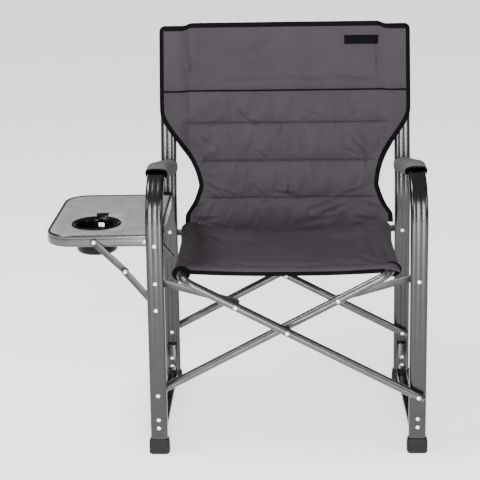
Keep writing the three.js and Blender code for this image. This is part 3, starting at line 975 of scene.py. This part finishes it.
BACK_CREASES = (  # ends in x and z, depth, width
    ((-118, 702), (-92, 672), 1.7, 4.0), ((-92, 672), (-66, 664), 1.4, 4.5),
    ((150, 640), (196, 585), 1.8, 5.0), ((178, 655), (208, 590), 1.6, 4.0),
    ((128, 610), (178, 588), 1.3, 4.0), ((-190, 520), (-150, 494), 2.0, 5.0),
    ((-165, 512), (-125, 492), 1.3, 4.0), ((200, 512), (140, 494), 1.5, 5.0),
    ((8, 514), (5, 492), 2.2, 3.4), ((-24, 499), (20, 494), 1.8, 5.0),
    ((60, 458), (140, 486), 1.6, 5.0), ((88, 447), (150, 470), 1.3, 5.0),
    ((-60, 470), (-20, 484), 1.1, 5.0), ((-150, 672), (-212, 648), 1.1, 7.0),
    ((40, 700), (90, 676), 1.0, 5.0), ((120, 678), (127, 648), 1.2, 4.0),
    ((-40, 850), (-90, 826), 1.0, 11.0), ((100, 772), (218, 762), 1.4, 7.0),
    ((-150, 764), (-20, 769), 1.2, 7.0), ((0, 772), (120, 761), 1.2, 6.0),
    ((-226, 860), (-222, 770), 1.2, 5.0), ((224, 862), (226, 775), 1.2, 5.0),
    ((-205, 560), (-184, 592), 1.5, 5.0), ((206, 560), (188, 590), 1.5, 5.0),
    ((-216, 640), (-180, 612), 1.4, 6.0), ((-236, 452), (-190, 476), 1.7, 6.0),
    ((236, 454), (186, 474), 1.7, 6.0), ((-70, 600), (-48, 580), 1.1, 4.0),
    ((60, 556), (72, 574), 1.0, 4.0), ((-10, 640), (-4, 664), 0.9, 4.0),
    ((-120, 560), (-104, 574), 1.0, 4.0), ((100, 528), (112, 496), 1.0, 4.5),
    ((-80, 520), (-60, 494), 1.0, 4.0), ((170, 440), (222, 428), 1.4, 6.0),
    ((-224, 430), (-168, 440), 1.3, 6.0), ((30, 425), (110, 440), 1.0, 7.0),
)


def crease_depth(x, z, creases):
    """How deep the creases are at each point: a hollow line with a low ridge beside it."""
    depth = np.zeros_like(x)
    for (x0, z0), (x1, z1), amount, width in creases:
        dx, dz = x1 - x0, z1 - z0
        t = (((x - x0) * dx + (z - z0) * dz) / (dx * dx + dz * dz))
        clipped = t.clip(0, 1)
        away = np.hypot(x - (x0 + clipped * dx), z - (z0 + clipped * dz))
        ridge = np.exp(-((away / width) ** 2)) - 0.55 * np.exp(-(((away - 1.7 * width) / width) ** 2))
        depth += amount * ridge * (0.35 + 0.65 * np.sin(np.pi * clipped))
    return depth


def back_plan():
    """The back's grid seen from the front, and how far each point is from the sides and the ends."""
    nominal = back_rows()[:, None]
    width = back_half_width(nominal)
    slope = np.gradient(width[:, 0], nominal[:, 0])[:, None]
    stretch = np.sqrt(1 + slope**2).clip(1, 1.45)
    graded = np.array(EDGE_STEPS)[None, :] * stretch
    edge_x = width - graded
    middle_x = edge_x[:, -1:] * (1 - np.arange(1, BACK_COLS + 1)[None, :] / BACK_COLS)
    half = np.concatenate([edge_x, middle_x], axis=1)
    x = np.concatenate([-half, half[:, -2::-1]], axis=1)
    nominal = nominal + 0 * x
    away = np.concatenate([graded, (width - middle_x)], axis=1) / stretch
    side_gap = np.concatenate([away, away[:, -2::-1]], axis=1)
    end_gap = np.minimum((nominal - BACK_BOTTOM_Z) * 1.6, BACK_TOP_Z - nominal)
    z = back_z(x, nominal)
    drop = (nominal - (BACK_TOP_Z - BACK_CORNER)).clip(0, BACK_CORNER)
    rounded = BACK_CORNER - np.sqrt(BACK_CORNER**2 - drop**2)
    x = x - np.sign(x) * smoothstep(40, 0, side_gap) * rounded
    x = x + back_shift(nominal)
    return nominal, x, z, side_gap, end_gap


def back_grids():
    """The two faces of the back as grids of points, and how firmly each point is sewn down."""
    nominal, x, z, side_gap, end_gap = back_plan()
    gap = np.minimum(side_gap, end_gap)
    rim = np.sqrt(1 - (1 - (gap / 7.0).clip(0, 1)) ** 2)
    tape_gap = np.minimum(side_gap, BACK_TOP_Z - nominal)
    taped = np.where(tape_gap < EDGE_STEPS[TAPE_STEPS] - 0.4, 0.9, 0.0) * (gap / 3.0).clip(0, 1)
    puff = back_puff(nominal)
    inside = smoothstep(8, 46, gap)
    panel_front = 0.8 + rim * (1.2 + 4.8 * puff * inside) - 2.8 * seam_dip(nominal) * inside
    panel_rear = 0.8 + rim * (0.8 + 2.6 * puff * inside)
    wrap = smoothstep(*SLEEVE_FOOT, nominal)
    beyond = smoothstep(SLEEVE_SEAM_X - 2, SLEEVE_SEAM_X + 26, np.abs(x))
    offset = np.abs(x) - leg_x(z)
    around = SLEEVE_DEPTH * (1 - (offset / SLEEVE_HALF_W).clip(0, 1) ** 4.5) ** 0.4
    around = around * (0.2 + 0.8 * np.sqrt(1 - (1 - (end_gap / 9.0).clip(0, 1)) ** 2))
    wing_front = WING_MIDDLE + WING_HALF * (0.4 + 0.6 * rim)
    wing_rear = -(WING_MIDDLE - WING_HALF * (0.4 + 0.6 * rim))
    outer_front = wing_front * (1 - wrap) + around * wrap
    outer_rear = wing_rear * (1 - wrap) + around * wrap
    seam = 2.2 * np.exp(-(((np.abs(x) - SLEEVE_SEAM_X) / 2.6) ** 2)) * wrap
    front = panel_front * (1 - beyond) + outer_front * beyond + taped - seam
    rear = panel_rear * (1 - beyond) + outer_rear * beyond + taped * 0.6
    on_border = gap <= 1e-6
    front = np.where(on_border, (front - rear) / 2, front)
    y = back_middle_y(x, z)
    held = 1.0 - 1.3 * puff * inside
    held = np.maximum(held, 0.6 * beyond)
    held = np.maximum(held, np.where(nominal > PIPING_Z, 0.4, 0.0))
    held = np.where(gap < 13, 1.0, held).clip(0, 1)
    return np.stack([x, y - front, z], -1), np.stack([x, y + rear, z], -1), held


def tape_faces(rows, cols):
    """Material indices for a two-sided grid: 1 on the tape along its sides and top, and 0 elsewhere."""
    picks = []
    for i in range(rows - 1):
        for j in range(cols - 1):
            at_top = i >= rows - 1 - TAPE_STEPS
            at_side = j < TAPE_STEPS or j >= cols - 1 - TAPE_STEPS
            picks += [int(at_top or at_side)] * 2
    return picks


def grid_weights(held, rear_index, count):
    """A weight for each vertex of a two-sided grid, the same on both its faces."""
    rows, cols = held.shape
    weights = np.ones(count)
    weights[: rows * cols] = held.ravel()
    for (i, j), index in rear_index.items():
        if index >= rows * cols:
            weights[index] = held[i, j]
    return weights


def make_back():
    front, rear, held = back_grids()
    to_row = np.array(ORIGIN)
    verts, faces, rear_index = two_sided_grid(front * MM + to_row, rear * MM + to_row)
    obj = new_piece("back_whole", verts, faces, BACK_FABRIC, 0)
    obj.data.materials.append(TAPE)
    obj.data.polygons.foreach_set("material_index", tape_faces(*held.shape))
    inflate(obj, grid_weights(held, rear_index, len(verts)), pressure=4.0, growth=0.03, cap=6.0)
    subdivide(obj)
    crease(obj, BACK_CREASES, FRONTWARDS, 0, 2)
    return obj


def crease(obj, creases, outwards, first, second):
    """Presses short creases and a faint unevenness into the side of a piece that faces outwards."""
    mesh = obj.data
    co = np.array([v.co for v in mesh.vertices])
    normals = np.array([v.normal for v in mesh.vertices])
    local = (co - np.array(ORIGIN)) / MM
    a, b = local[:, first], local[:, second]
    facing = smoothstep(0.2, 0.8, normals @ np.array(outwards))
    uneven = 0.5 * np.sin(a / 31 + 1.7 * np.sin(b / 47)) * np.sin(b / 23 + 0.9 * np.sin(a / 39))
    depth = 2.5 * crease_depth(a, b, creases) + 0.9 * uneven
    co -= normals * (depth * facing * MM)[:, None]
    mesh.vertices.foreach_set("co", co.ravel())
    mesh.update()


def split_piece(obj, name, keep, cuts):
    """A copy of obj that keeps only the faces keep() accepts, after cutting along planes, closed again."""
    bm = bmesh.new()
    bm.from_mesh(obj.data)
    for point, normal, limit in cuts:
        chosen = [f for f in bm.faces if limit(f.calc_center_median())]
        geometry = set(chosen)
        for f in chosen:
            geometry.update(f.edges)
            geometry.update(f.verts)
        bmesh.ops.bisect_plane(bm, geom=list(geometry), plane_co=point, plane_no=normal, dist=1e-6)
    bm.normal_update()

    def spot(co):
        return tuple(round(c, 6) for c in co)

    normals = {spot(v.co): v.normal.copy() for v in bm.verts}
    drop = [f for f in bm.faces if not keep(f.calc_center_median())]
    bmesh.ops.delete(bm, geom=drop, context="FACES")
    open_edges = [e for e in bm.edges if e.is_boundary]
    bmesh.ops.holes_fill(bm, edges=open_edges, sides=0)
    mesh = bpy.data.meshes.new(name)
    bm.to_mesh(mesh)
    bm.free()
    for material in obj.data.materials:
        mesh.materials.append(material)
    mesh.polygons.foreach_set("use_smooth", [True] * len(mesh.polygons))
    mesh.normals_split_custom_set_from_vertices(
        [normals.get(spot(v.co), v.normal) for v in mesh.vertices]
    )
    piece = bpy.data.objects.new(name, mesh)
    bpy.context.scene.collection.objects.link(piece)
    return piece


SPLIT_X = 229.0  # where the back's panel ends and its sleeves and wings begin
WING_FOOT_Z = 505.0


def is_wing(side):
    """Whether a point in the row frame lies in a sleeve or the wing of fabric below it."""

    def test(point):
        local = (point - ORIGIN) / MM
        return side * local.x > SPLIT_X and local.z > WING_FOOT_Z

    return test


class Surface:
    """Finds points on a fabric's outer face."""

    def __init__(self, obj):
        self.tree = BVHTree.FromObject(obj, bpy.context.evaluated_depsgraph_get())

    def front(self, x, z):
        """The point facing the sitter at x and z, or None."""
        return self.tree.ray_cast(at(x, 0, z), -FRONTWARDS)[0]

    def top(self, x, y):
        """The point facing up at x and y, or None."""
        return self.tree.ray_cast(at(x, y, 600), -UPWARDS)[0]

    def nearest(self, point):
        return self.tree.find_nearest(point)[0]


def resample(points, step):
    """Even steps along a line of row-frame points."""
    pts = np.array([tuple(p) for p in points])
    gaps = np.linalg.norm(np.diff(pts, axis=0), axis=1)
    along = np.concatenate([[0], np.cumsum(gaps)])
    count = max(2, int(round(along[-1] / (step * MM))) + 1)
    where = np.linspace(0, along[-1], count)
    return [Vector((np.interp(where, along, pts[:, k])[i] for k in range(3))) for i in range(count)]


def add_tube(shell, points, facing, half_w, half_h, sides=10, closed=False):
    """An oval cord along row-frame points, its flat side turned to face one way."""
    loops = []
    count = len(points)
    for i, point in enumerate(points):
        before = points[(i - 1) % count] if closed or i else points[0]
        after = points[(i + 1) % count] if closed or i < count - 1 else points[-1]
        tangent = (after - before).normalized()
        up = (facing - tangent * facing.dot(tangent)).normalized()
        side = tangent.cross(up)
        loops.append([point + (side * half_w * a + up * half_h * b) * MM for a, b in circle(1.0, sides)])
    shell.loft(loops, closed)


def add_stitches(shell, points, up, pitch=4.2, length=3.0, radius=0.38):
    """Short raised threads along a line."""
    line = resample(points, pitch)
    for i in range(len(line) - 1):
        start, end = line[i], line[i].lerp(line[i + 1], length / pitch)
        along = (end - start).normalized()
        side = along.cross(up).normalized()
        lift = up * radius * 0.5 * MM
        loops = []
        for t, r in ((0.0, 0.35), (0.2, 1.0), (0.8, 1.0), (1.0, 0.35)):
            centre = start.lerp(end, t) + lift * (1 if 0 < t < 1 else -0.6)
            loops.append([centre + (side * a + up * b) * radius * r * MM for a, b in circle(1.0, 5)])
        shell.loft(loops)


def drape(surface, points, lift):
    """Row-frame points on the front of the fabric under (x, z) pairs."""
    placed = []
    for x, z in points:
        hit = surface.front(x, z)
        if hit is not None:
            placed.append(hit + FRONTWARDS * lift * MM)
    return placed


def split_back(whole):
    """Cuts the back into its middle panel and the sleeve and wing at each side."""

    def is_high(point):
        return (point - ORIGIN).z / MM > WING_FOOT_Z

    cuts = [(at(side * SPLIT_X, 0, 0), Vector((1, 0, 0)), is_high) for _, side in SIDES]
    left, right = is_wing(-1), is_wing(1)
    panel = split_piece(whole, "back_panel", lambda p: not (left(p) or right(p)), cuts)
    wings = {
        "left": split_piece(whole, "back_sleeve_left_fabric", left, cuts),
        "right": split_piece(whole, "back_sleeve_right_fabric", right, cuts),
    }
    bpy.data.objects.remove(whole)
    return panel, wings


PIPING_ROWS = (5.5, 11.5, -4.5)  # rows of stitches above and below the piping


def finish_back(whole):
    surface = Surface(whole)
    centre_piece, wings = split_back(whole)
    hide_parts("back_panel_left", "back_panel_right")
    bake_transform(centre_piece)
    for word, piece in wings.items():
        place(piece, f"{word}_frame", "padded_fabric", f"back_sleeve_{word}")

    def on_centre(obj):
        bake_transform(obj)

    def sew(shell, run, *thread):
        add_stitches(shell, drape(surface, run, 0.1), FRONTWARDS, *thread)

    for zone, x0, x1 in (("centre", -SPLIT_X, SPLIT_X), ("left", -300, -SPLIT_X), ("right", SPLIT_X, 300)):
        line = [(x, float(back_z(x, PIPING_Z))) for x in np.linspace(x0, x1, max(8, int((x1 - x0) / 6)))]
        piping = Builder()
        add_tube(piping, drape(surface, line, 0.9), FRONTWARDS, 2.0, 2.0, 10)
        piece = piping.piece(f"back_piping_{zone}", TAPE, 0)
        stitches = Builder()
        for offset in PIPING_ROWS:
            sew(stitches, [(x, z + offset) for x, z in line])
        if zone == "centre":
            on_centre(make_quilting(sew))
        else:
            seam_x = math.copysign(SLEEVE_SEAM_X + 3.5, x0)
            sew(stitches, [(seam_x, z) for z in np.linspace(PIPING_Z + 14, 886, 40)])
        threads = stitches.piece(f"back_stitching_{zone}", THREAD_GREY, 0)
        for obj in (piece, threads):
            if zone == "centre":
                on_centre(obj)
            else:
                place(obj, f"{zone}_frame", "padded_fabric")
    on_centre(make_label(surface))


def make_quilting(sew):
    """The thread along the back's quilting seams, which stop a little short of the tape."""
    seams = Builder()
    for seam in BACK_SEAMS:
        shift = float(back_shift(seam))
        reach = min(float(back_half_width(seam)) - 12, SPLIT_X - shift)
        run = [(x + shift, float(back_z(x, seam))) for x in np.linspace(-reach, reach, 90)]
        sew(seams, run, 4.2, 3.5, 0.5)
    return seams.piece("back_quilting_thread", THREAD_BLACK, 0)


LABEL = {"x": (144.0, 226.0), "z": (851.0, 872.0)}


def make_label(surface):
    """A plain black woven patch with its edge pressed in a little, and nothing on it."""
    x0, x1 = LABEL["x"]
    z0, z1 = LABEL["z"]
    cols, rows = 26, 8
    verts, faces = [], []
    for layer, lift in enumerate((1.1, -0.6)):
        for i in range(rows + 1):
            for j in range(cols + 1):
                x = x0 + (x1 - x0) * j / cols
                z = z0 + (z1 - z0) * i / rows
                edge = i in (0, rows) or j in (0, cols)
                thinned = 0.5 if edge and layer == 0 else 0
                verts.append(surface.front(x, z) + FRONTWARDS * (lift - thinned) * MM)
    n = (rows + 1) * (cols + 1)
    for i in range(rows):
        for j in range(cols):
            a = i * (cols + 1) + j
            quad = (a, a + 1, a + cols + 2, a + cols + 1)
            faces.append(quad)
            faces.append(tuple(q + n for q in reversed(quad)))
    border = list(range(cols + 1))
    border += [i * (cols + 1) + cols for i in range(1, rows + 1)]
    border += [rows * (cols + 1) + j for j in range(cols - 1, -1, -1)]
    border += [i * (cols + 1) for i in range(rows - 1, 0, -1)]
    for a, b in zip(border, border[1:] + border[:1]):
        faces.append((a, b, b + n, a + n))
    return new_piece("back_label", verts, faces, TAPE, 30)


# ---------------------------------------------------------------- seat

SEAT_Y = (35.0, 400.5)
SEAT_EDGE_X = 248.0
SLEEVE_R = 13.6
SEAT_ROWS = 72
SEAT_COLS = 100
SEAT_THICK = 9.0
SEAT_TURN = 22.0  # girth beyond the rail that is spread round the sleeve
FRONT_BOW = 3.0


def seat_top(x, y):
    """Height of the seat's upper face: over the rails at its sides, and hollowed in between."""
    t = (y - SEAT_Y[0]) / (SEAT_Y[1] - SEAT_Y[0])
    crown = RAIL_Z + SLEEVE_R
    hollow = 6.0 + 12.0 * smoothstep(0.1, 1.0, t)
    across = (1 - (np.abs(x) / RAIL_X).clip(0, 1) ** 2.4)
    rear_drop = smoothstep(0.82, 1.0, t) * (8.4 * across - 2.4)
    front_roll = 9.0 * (1 - (t / 0.045).clip(0, 1)) ** 2
    return crown - hollow * across - rear_drop - front_roll


def seat_grids():
    u = np.linspace(-1, 1, SEAT_COLS)[None, :]
    v = np.linspace(0, 1, SEAT_ROWS)[:, None]
    share = np.sign(u) * np.abs(u) ** 0.86
    y = SEAT_Y[0] + v * (SEAT_Y[1] - SEAT_Y[0]) + 0 * u
    # Beyond the rail the fabric turns down round it: the last columns run round the sleeve.
    turn_start = RAIL_X / (RAIL_X + SEAT_TURN)
    a = np.abs(share)
    flat = a <= turn_start
    x_flat = share * (RAIL_X + SEAT_TURN)
    angle = ((a - turn_start) / (1 - turn_start)).clip(0, 1) * (math.pi / 2)
    wide = SEAT_EDGE_X - RAIL_X + 8.0 * smoothstep(250, 400, y)
    x = np.where(flat, x_flat, np.sign(u) * (RAIL_X + wide * np.sin(angle)))
    x = x + 0 * y
    top = seat_top(x, y)
    crown = seat_top(np.full_like(x, RAIL_X), y)
    z_top = np.where(flat, top, RAIL_Z - 1.0 + (crown - RAIL_Z + 1.0) * np.cos(angle))
    centre_thick = SEAT_THICK - 5.8 * smoothstep(346, 372, y) * smoothstep(150, 190, np.abs(x))
    under = np.abs(x)
    round_under = RAIL_Z - SLEEVE_R * np.sqrt((1 - ((under - RAIL_X) / 19.0).clip(-1, 1) ** 2).clip(0, 1))
    flat_under = top - centre_thick
    blend = smoothstep(RAIL_X - 34, RAIL_X - 12, under)
    z_under = flat_under * (1 - blend) + np.minimum(flat_under, round_under) * blend
    z_under = np.where(flat, z_under, RAIL_Z - 1.0 - (SLEEVE_R - 1.0) * np.cos(angle))
    right_notch = (x > 0) & (y < 56)
    single = (right_notch | (y > 362)) & (blend > 0)
    z_under = np.where(single, np.maximum(z_under, z_top - centre_thick), z_under)
    z_under = np.minimum(z_under, z_top - 0.6)
    bow = FRONT_BOW * (1 - (x / SEAT_EDGE_X) ** 2) * (1 - v)
    upper = np.stack([x, y - bow, z_top], -1)
    lower = np.stack([x, y - bow, z_under], -1)
    return upper, lower, x, y


SEAT_CREASES = (  # ends in x and y, depth, width
    ((-228, 60), (-222, 200), 1.0, 7.0), ((228, 70), (224, 190), 1.0, 7.0),
    ((212, 60), (240, 110), 1.1, 7.0), ((-212, 70), (-236, 130), 1.0, 7.0),
    ((150, 120), (215, 60), 0.8, 10.0), ((-215, 330), (-150, 385), 1.3, 9.0),
    ((215, 330), (150, 385), 1.2, 9.0), ((-120, 380), (-20, 372), 0.9, 8.0),
    ((20, 374), (130, 382), 0.9, 8.0), ((-190, 250), (-210, 330), 0.8, 9.0),
    ((190, 260), (210, 330), 0.8, 9.0), ((-60, 60), (60, 56), 0.5, 10.0),
)


def make_seat():
    upper, lower, x, y = seat_grids()
    to_row = np.array(ORIGIN)
    verts, faces, rear_index = two_sided_grid(upper * MM + to_row, lower * MM + to_row)
    obj = new_piece("seat_fabric", verts, faces, SEAT_FABRIC, 0)
    from_ends = np.minimum(y - SEAT_Y[0], SEAT_Y[1] - y) / 26
    inside = np.minimum((RAIL_X - 12 - np.abs(x)) / 30, from_ends)
    held = 1 - 0.95 * inside.clip(0, 1)
    inflate(obj, grid_weights(held, rear_index, len(verts)), pressure=1.5, growth=0.015, cap=4.0)
    subdivide(obj)
    crease(obj, SEAT_CREASES, UPWARDS, 0, 1)
    surface = Surface(obj)
    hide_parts("seat_left", "seat_right")
    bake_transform(obj)

    def on_seat(piece):
        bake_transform(piece)

    front_y = SEAT_Y[0]
    line = []
    for x in np.linspace(-214, 214, 80):
        z = float(seat_top(x, np.array(front_y))) - 1.5
        line.append(at(x, front_y + 1.5 - FRONT_BOW * (1 - (x / SEAT_EDGE_X) ** 2), z))
    binding = Builder()
    add_tube(binding, resample(line, 6.0), Vector((0, -0.8, 0.6)), 5.0, 2.6, 12)
    on_seat(binding.piece("seat_front_binding", TAPE, 0))

    stitches = Builder()
    hits = [surface.top(x, 48.0) for x in np.linspace(-216, 216, 100)]
    add_stitches(stitches, [hit for hit in hits if hit is not None], UPWARDS)
    on_seat(stitches.piece("seat_stitching", THREAD_GREY, 0))
    make_sleeve_mouths()


def make_sleeve_mouths():
    """The tape round the front end of each seat sleeve, and a near-black disc across its mouth that paints
    the shade inside the sleeve.
    """
    for (word, side), mouth_y in zip(SIDES, (SEAT_Y[0], 55.0)):
        x, z = side * (RAIL_X + 1.0), RAIL_Z - 0.5
        ring = Builder()
        points = [at(x + a * 17.0, mouth_y - 1.0 + 2.0 * b, z + b * 13.5) for a, b in circle(1.0, 30)]
        add_tube(ring, points, FRONTWARDS, 3.4, 2.4, 8, closed=True)
        body = f"seat_{word}"
        place(ring.piece(f"seat_sleeve_binding_{word}", TAPE, 0), body, "padded_fabric")
        # Painted shade: a near-black disc closes the sleeve's mouth in place of its shadowed inside.
        mouth_shade = Builder()
        mouth_shade.loft([
            [at(x + a * 15.5, mouth_y + depth, z + b * 12.0) for a, b in circle(1.0, 30)]
            for depth in (-0.5, 1.0)
        ])
        place(mouth_shade.piece(f"seat_sleeve_painted_shade_{word}", SLEEVE_SHADE, 0), body, "padded_fabric")


# ---------------------------------------------------------------- armrests

PAD_START = math.radians(76)
PAD_END_Y = 405.0
PAD_HALF_W = 24.0
PAD_POINTS = 36


def pad_path():
    turn = math.pi / 2 + ARM_SLOPE
    bend_z = ARM_CORNER_Z - ARM_RADIUS * math.tan(turn / 2)
    path = []
    steps = 12
    for k in range(steps + 1):
        a = PAD_START + (turn - PAD_START) * k / steps
        point = Vector((0, FRONT_Y + ARM_RADIUS * (1 - math.cos(a)), bend_z + ARM_RADIUS * math.sin(a)))
        path.append((point, Vector((0, math.sin(a), math.cos(a)))))
    start = path[-1][0]
    end = Vector((0, PAD_END_Y, ARM_CORNER_Z - (PAD_END_Y - FRONT_Y) * math.tan(ARM_SLOPE)))
    for k in range(1, 45):
        path.append((start.lerp(end, k / 44), path[steps][1]))
    return path


def pad_section(t, inset=0.0, count=PAD_POINTS):
    """An arched sleeve: a high crown over the tube at its front, lower and flatter at its rear."""
    crown = 17.5 + 3.0 * float(smoothstep(0.0, 0.15, t)) - 3.5 * t - inset
    floor = 15.5 + 1.5 * t - inset
    half = PAD_HALF_W - inset - 0.8 * t
    points = []
    for k in range(count):
        a = 2 * math.pi * k / count
        c, s = math.cos(a), math.sin(a)
        power = 0.72 if s > 0 else 0.5
        x = half * math.copysign(abs(c) ** power, c)
        y = (crown if s > 0 else floor) * math.copysign(abs(s) ** power, s)
        points.append((x, -y))
    return points


MOUTH_SLANT = 24.0


def pad_loop(ring, tangent, t, section, depth=0.0):
    """One ring of the armrest sleeve. Near its mouth the underside is cut back along the tube."""
    point, across, down = ring
    top = min(b for _, b in section)
    tall = max(b for _, b in section) - top
    slant = MOUTH_SLANT * (1 - float(smoothstep(0.0, 0.2, t)))
    return [
        at(*(point + tangent * (depth + slant * (b - top) / tall) + across * a + down * b))
        for a, b in section
    ]


def wrinkled(section, i, t, phase):
    """A section of the sleeve with small wrinkles, drawn in a little half way along."""
    drawn_in = 0.6 * math.exp(-((t - 0.5) / 0.3) ** 2)
    points = []
    for k, (a, b) in enumerate(section):
        turn = 2 * math.pi * k / PAD_POINTS
        wrinkle = 0.45 * math.sin(i * 0.55 + 2.2 * math.sin(turn + phase[0]) + phase[1])
        wrinkle += 0.35 * math.sin(i * 1.3 + 3 * turn + phase[2]) * (1 if b > 0 else 0.5)
        size = 1.0 + (wrinkle - drawn_in) / 26.0
        points.append((a * size, b * size))
    return points


def make_arm_pad(word, side):
    path, across = leaning_path(side, pad_path())
    rings = framed(path, across)
    last = len(rings) - 1
    rng = random.Random(7 + side)
    start, end = path[0][1], path[-1][1]
    loops = [pad_loop(rings[0], start, 0.0, pad_section(0.0, inset), depth)
             for depth, inset in ((16.0, 4.5), (6.0, 3.4), (1.0, 2.2))]
    phase = [rng.uniform(0, 6.28) for _ in range(4)]
    for i, ring in enumerate(rings):
        t = i / last
        loops.append(pad_loop(ring, path[i][1], t, wrinkled(pad_section(t), i, t, phase)))
    loops.append(pad_loop(rings[-1], end, 1.0, pad_section(1.0, 2.5), 1.2))
    shell = Builder()
    shell.loft(loops)
    pad = shell.piece(f"{word}_arm_sleeve", ARM_FABRIC, 0)
    # The inner lip and inside of the sleeve's mouth get the near-black cloth, as painted shade for the
    # shadowed inside.
    pad.data.materials.append(SLEEVE_SHADE)
    for polygon in pad.data.polygons:
        polygon.material_index = int(max(polygon.vertices) < 4 * PAD_POINTS)
    subdivide(pad)
    body = f"{word}_frame"
    place(pad, body, "padded_fabric", f"{word}_arm_pad")
    binding = Builder()
    mouth = pad_loop(rings[0], start, 0.0, pad_section(0.0, 0.9, 48), -0.4)
    add_tube(binding, mouth, start, 1.6, 3.0, 8, closed=True)
    tail = pad_loop(rings[-1], end, 1.0, pad_section(1.0, 1.2, 48))
    add_tube(binding, tail, end, 1.5, 3.6, 8, closed=True)
    place(binding.piece(f"{word}_arm_binding", TAPE, 0), body, "padded_fabric")
    stitches = Builder()
    surface = Surface(pad)
    run = [
        surface.nearest(at(*(point - across * side * (PAD_HALF_W - 1) + down * 10)))
        for point, across, down in rings[4:-1]
    ]
    add_stitches(stitches, run, Vector((-side, 0, 0)))
    place(stitches.piece(f"{word}_arm_stitching", THREAD_GREY, 0), body, "padded_fabric")


# ---------------------------------------------------------------- stage

CAMERA_AT = (-11.3, -2737.7, 1300.0)
CAMERA_YAW = math.radians(-1.85)
CAMERA_PITCH = math.radians(16.26)
CAMERA_ROLL = math.radians(1.0)
CAMERA_LENS = 99.825


def make_camera():
    data = bpy.data.cameras.new("camera")
    data.sensor_width = 36.0
    data.lens = CAMERA_LENS
    data.clip_end = 100
    camera = bpy.data.objects.new("camera", data)
    bpy.context.scene.collection.objects.link(camera)
    forward = Vector((
        math.sin(CAMERA_YAW) * math.cos(CAMERA_PITCH),
        math.cos(CAMERA_YAW) * math.cos(CAMERA_PITCH),
        -math.sin(CAMERA_PITCH),
    ))
    right = Vector((math.cos(CAMERA_YAW), -math.sin(CAMERA_YAW), 0))
    down = forward.cross(right)
    across = right * math.cos(CAMERA_ROLL) + down * math.sin(CAMERA_ROLL)
    below = -right * math.sin(CAMERA_ROLL) + down * math.cos(CAMERA_ROLL)
    turn = Matrix((across, -below, -forward)).transposed()
    camera.matrix_world = Matrix.Translation(at(*CAMERA_AT)) @ turn.to_4x4()
    bpy.context.scene.camera = camera


def make_light(name, where, target, size, power):
    data = bpy.data.lights.new(name, "AREA")
    data.shape = "RECTANGLE"
    data.size, data.size_y = size
    data.energy = power
    light = bpy.data.objects.new(name, data)
    bpy.context.scene.collection.objects.link(light)
    light.location = where
    light.rotation_euler = (Vector(target) - Vector(where)).to_track_quat("-Z", "Y").to_euler()
    light.visible_camera = False


FLOOR_HALF = 60.0


def make_stage():
    n = Nodes("pale_floor")
    cloud = n.noise(3.0, 2.0)
    n.link(n.ramp(cloud, [(0.3, (0.86, 0.86, 0.86)), (0.7, (0.9, 0.9, 0.9))]), n.shader.inputs["Base Color"])
    n.shader.inputs["Roughness"].default_value = 0.9
    n.shader.inputs["Specular IOR Level"].default_value = 0.1
    n.shader.inputs["Emission Color"].default_value = (1, 1, 1, 1)
    n.shader.inputs["Emission Strength"].default_value = 1.3
    corners = [(x * FLOOR_HALF, y * FLOOR_HALF, 0) for x, y in ((-1, -1), (1, -1), (1, 1), (-1, 1))]
    floor = new_piece("floor", corners, [(0, 1, 2, 3)], n.material, 0)
    make_world()
    make_lights()


WORLD_GREYS = ((0.0, 0.6), (0.3, 0.1), (0.9, 0.4))  # grey at each height of the surroundings


def make_world():
    """A studio that is dark at eye level and paler above and below."""
    world = bpy.data.worlds.new("studio")
    world.use_nodes = True
    tree = world.node_tree
    background = tree.nodes["Background"]
    place = tree.nodes.new("ShaderNodeTexCoord")
    split = tree.nodes.new("ShaderNodeSeparateXYZ")
    ramp = tree.nodes.new("ShaderNodeValToRGB")
    tree.links.new(place.outputs["Generated"], split.inputs[0])
    tree.links.new(split.outputs["Z"], ramp.inputs["Fac"])
    tree.links.new(ramp.outputs["Color"], background.inputs["Color"])
    elements = ramp.color_ramp.elements
    elements.new(0.5)
    for element, (position, grey) in zip(elements, WORLD_GREYS):
        element.position = position
        element.color = (grey, grey, grey, 1)
    background.inputs["Strength"].default_value = 1.1
    bpy.context.scene.world = world


def make_lights():
    chair = (0.1, 0.0, 0.5)
    make_light("front_low", (0.1, -1.78, 0.27), (0.1, 0, 1.4), (0.8, 0.5), 14)
    make_light("front_wide", (0.1, -4.4, 2.1), (0.1, 0, 0.9), (0.8, 3.2), 215)
    make_light("key_left", (-2.4, -1.8, 2.4), chair, (1.0, 1.0), 40)
    make_light("fill_right", (2.6, -1.6, 2.0), chair, (1.0, 1.0), 32)
    make_light("top", (-1.3, -0.15, 3.0), (0.1, 0.12, 0.6), (1.0, 0.8), 70)


make_camera()
make_stage()
for word, side in SIDES:
    make_side_frame(word, side)
    for end in ENDS:
        make_foot(word, side, end)
    make_arm_pad(word, side)
make_cross_frame("a", -1)
make_cross_frame("b", 1)
make_rivets()
make_links()
make_table()
make_braces()
finish_back(make_back())
make_seat()
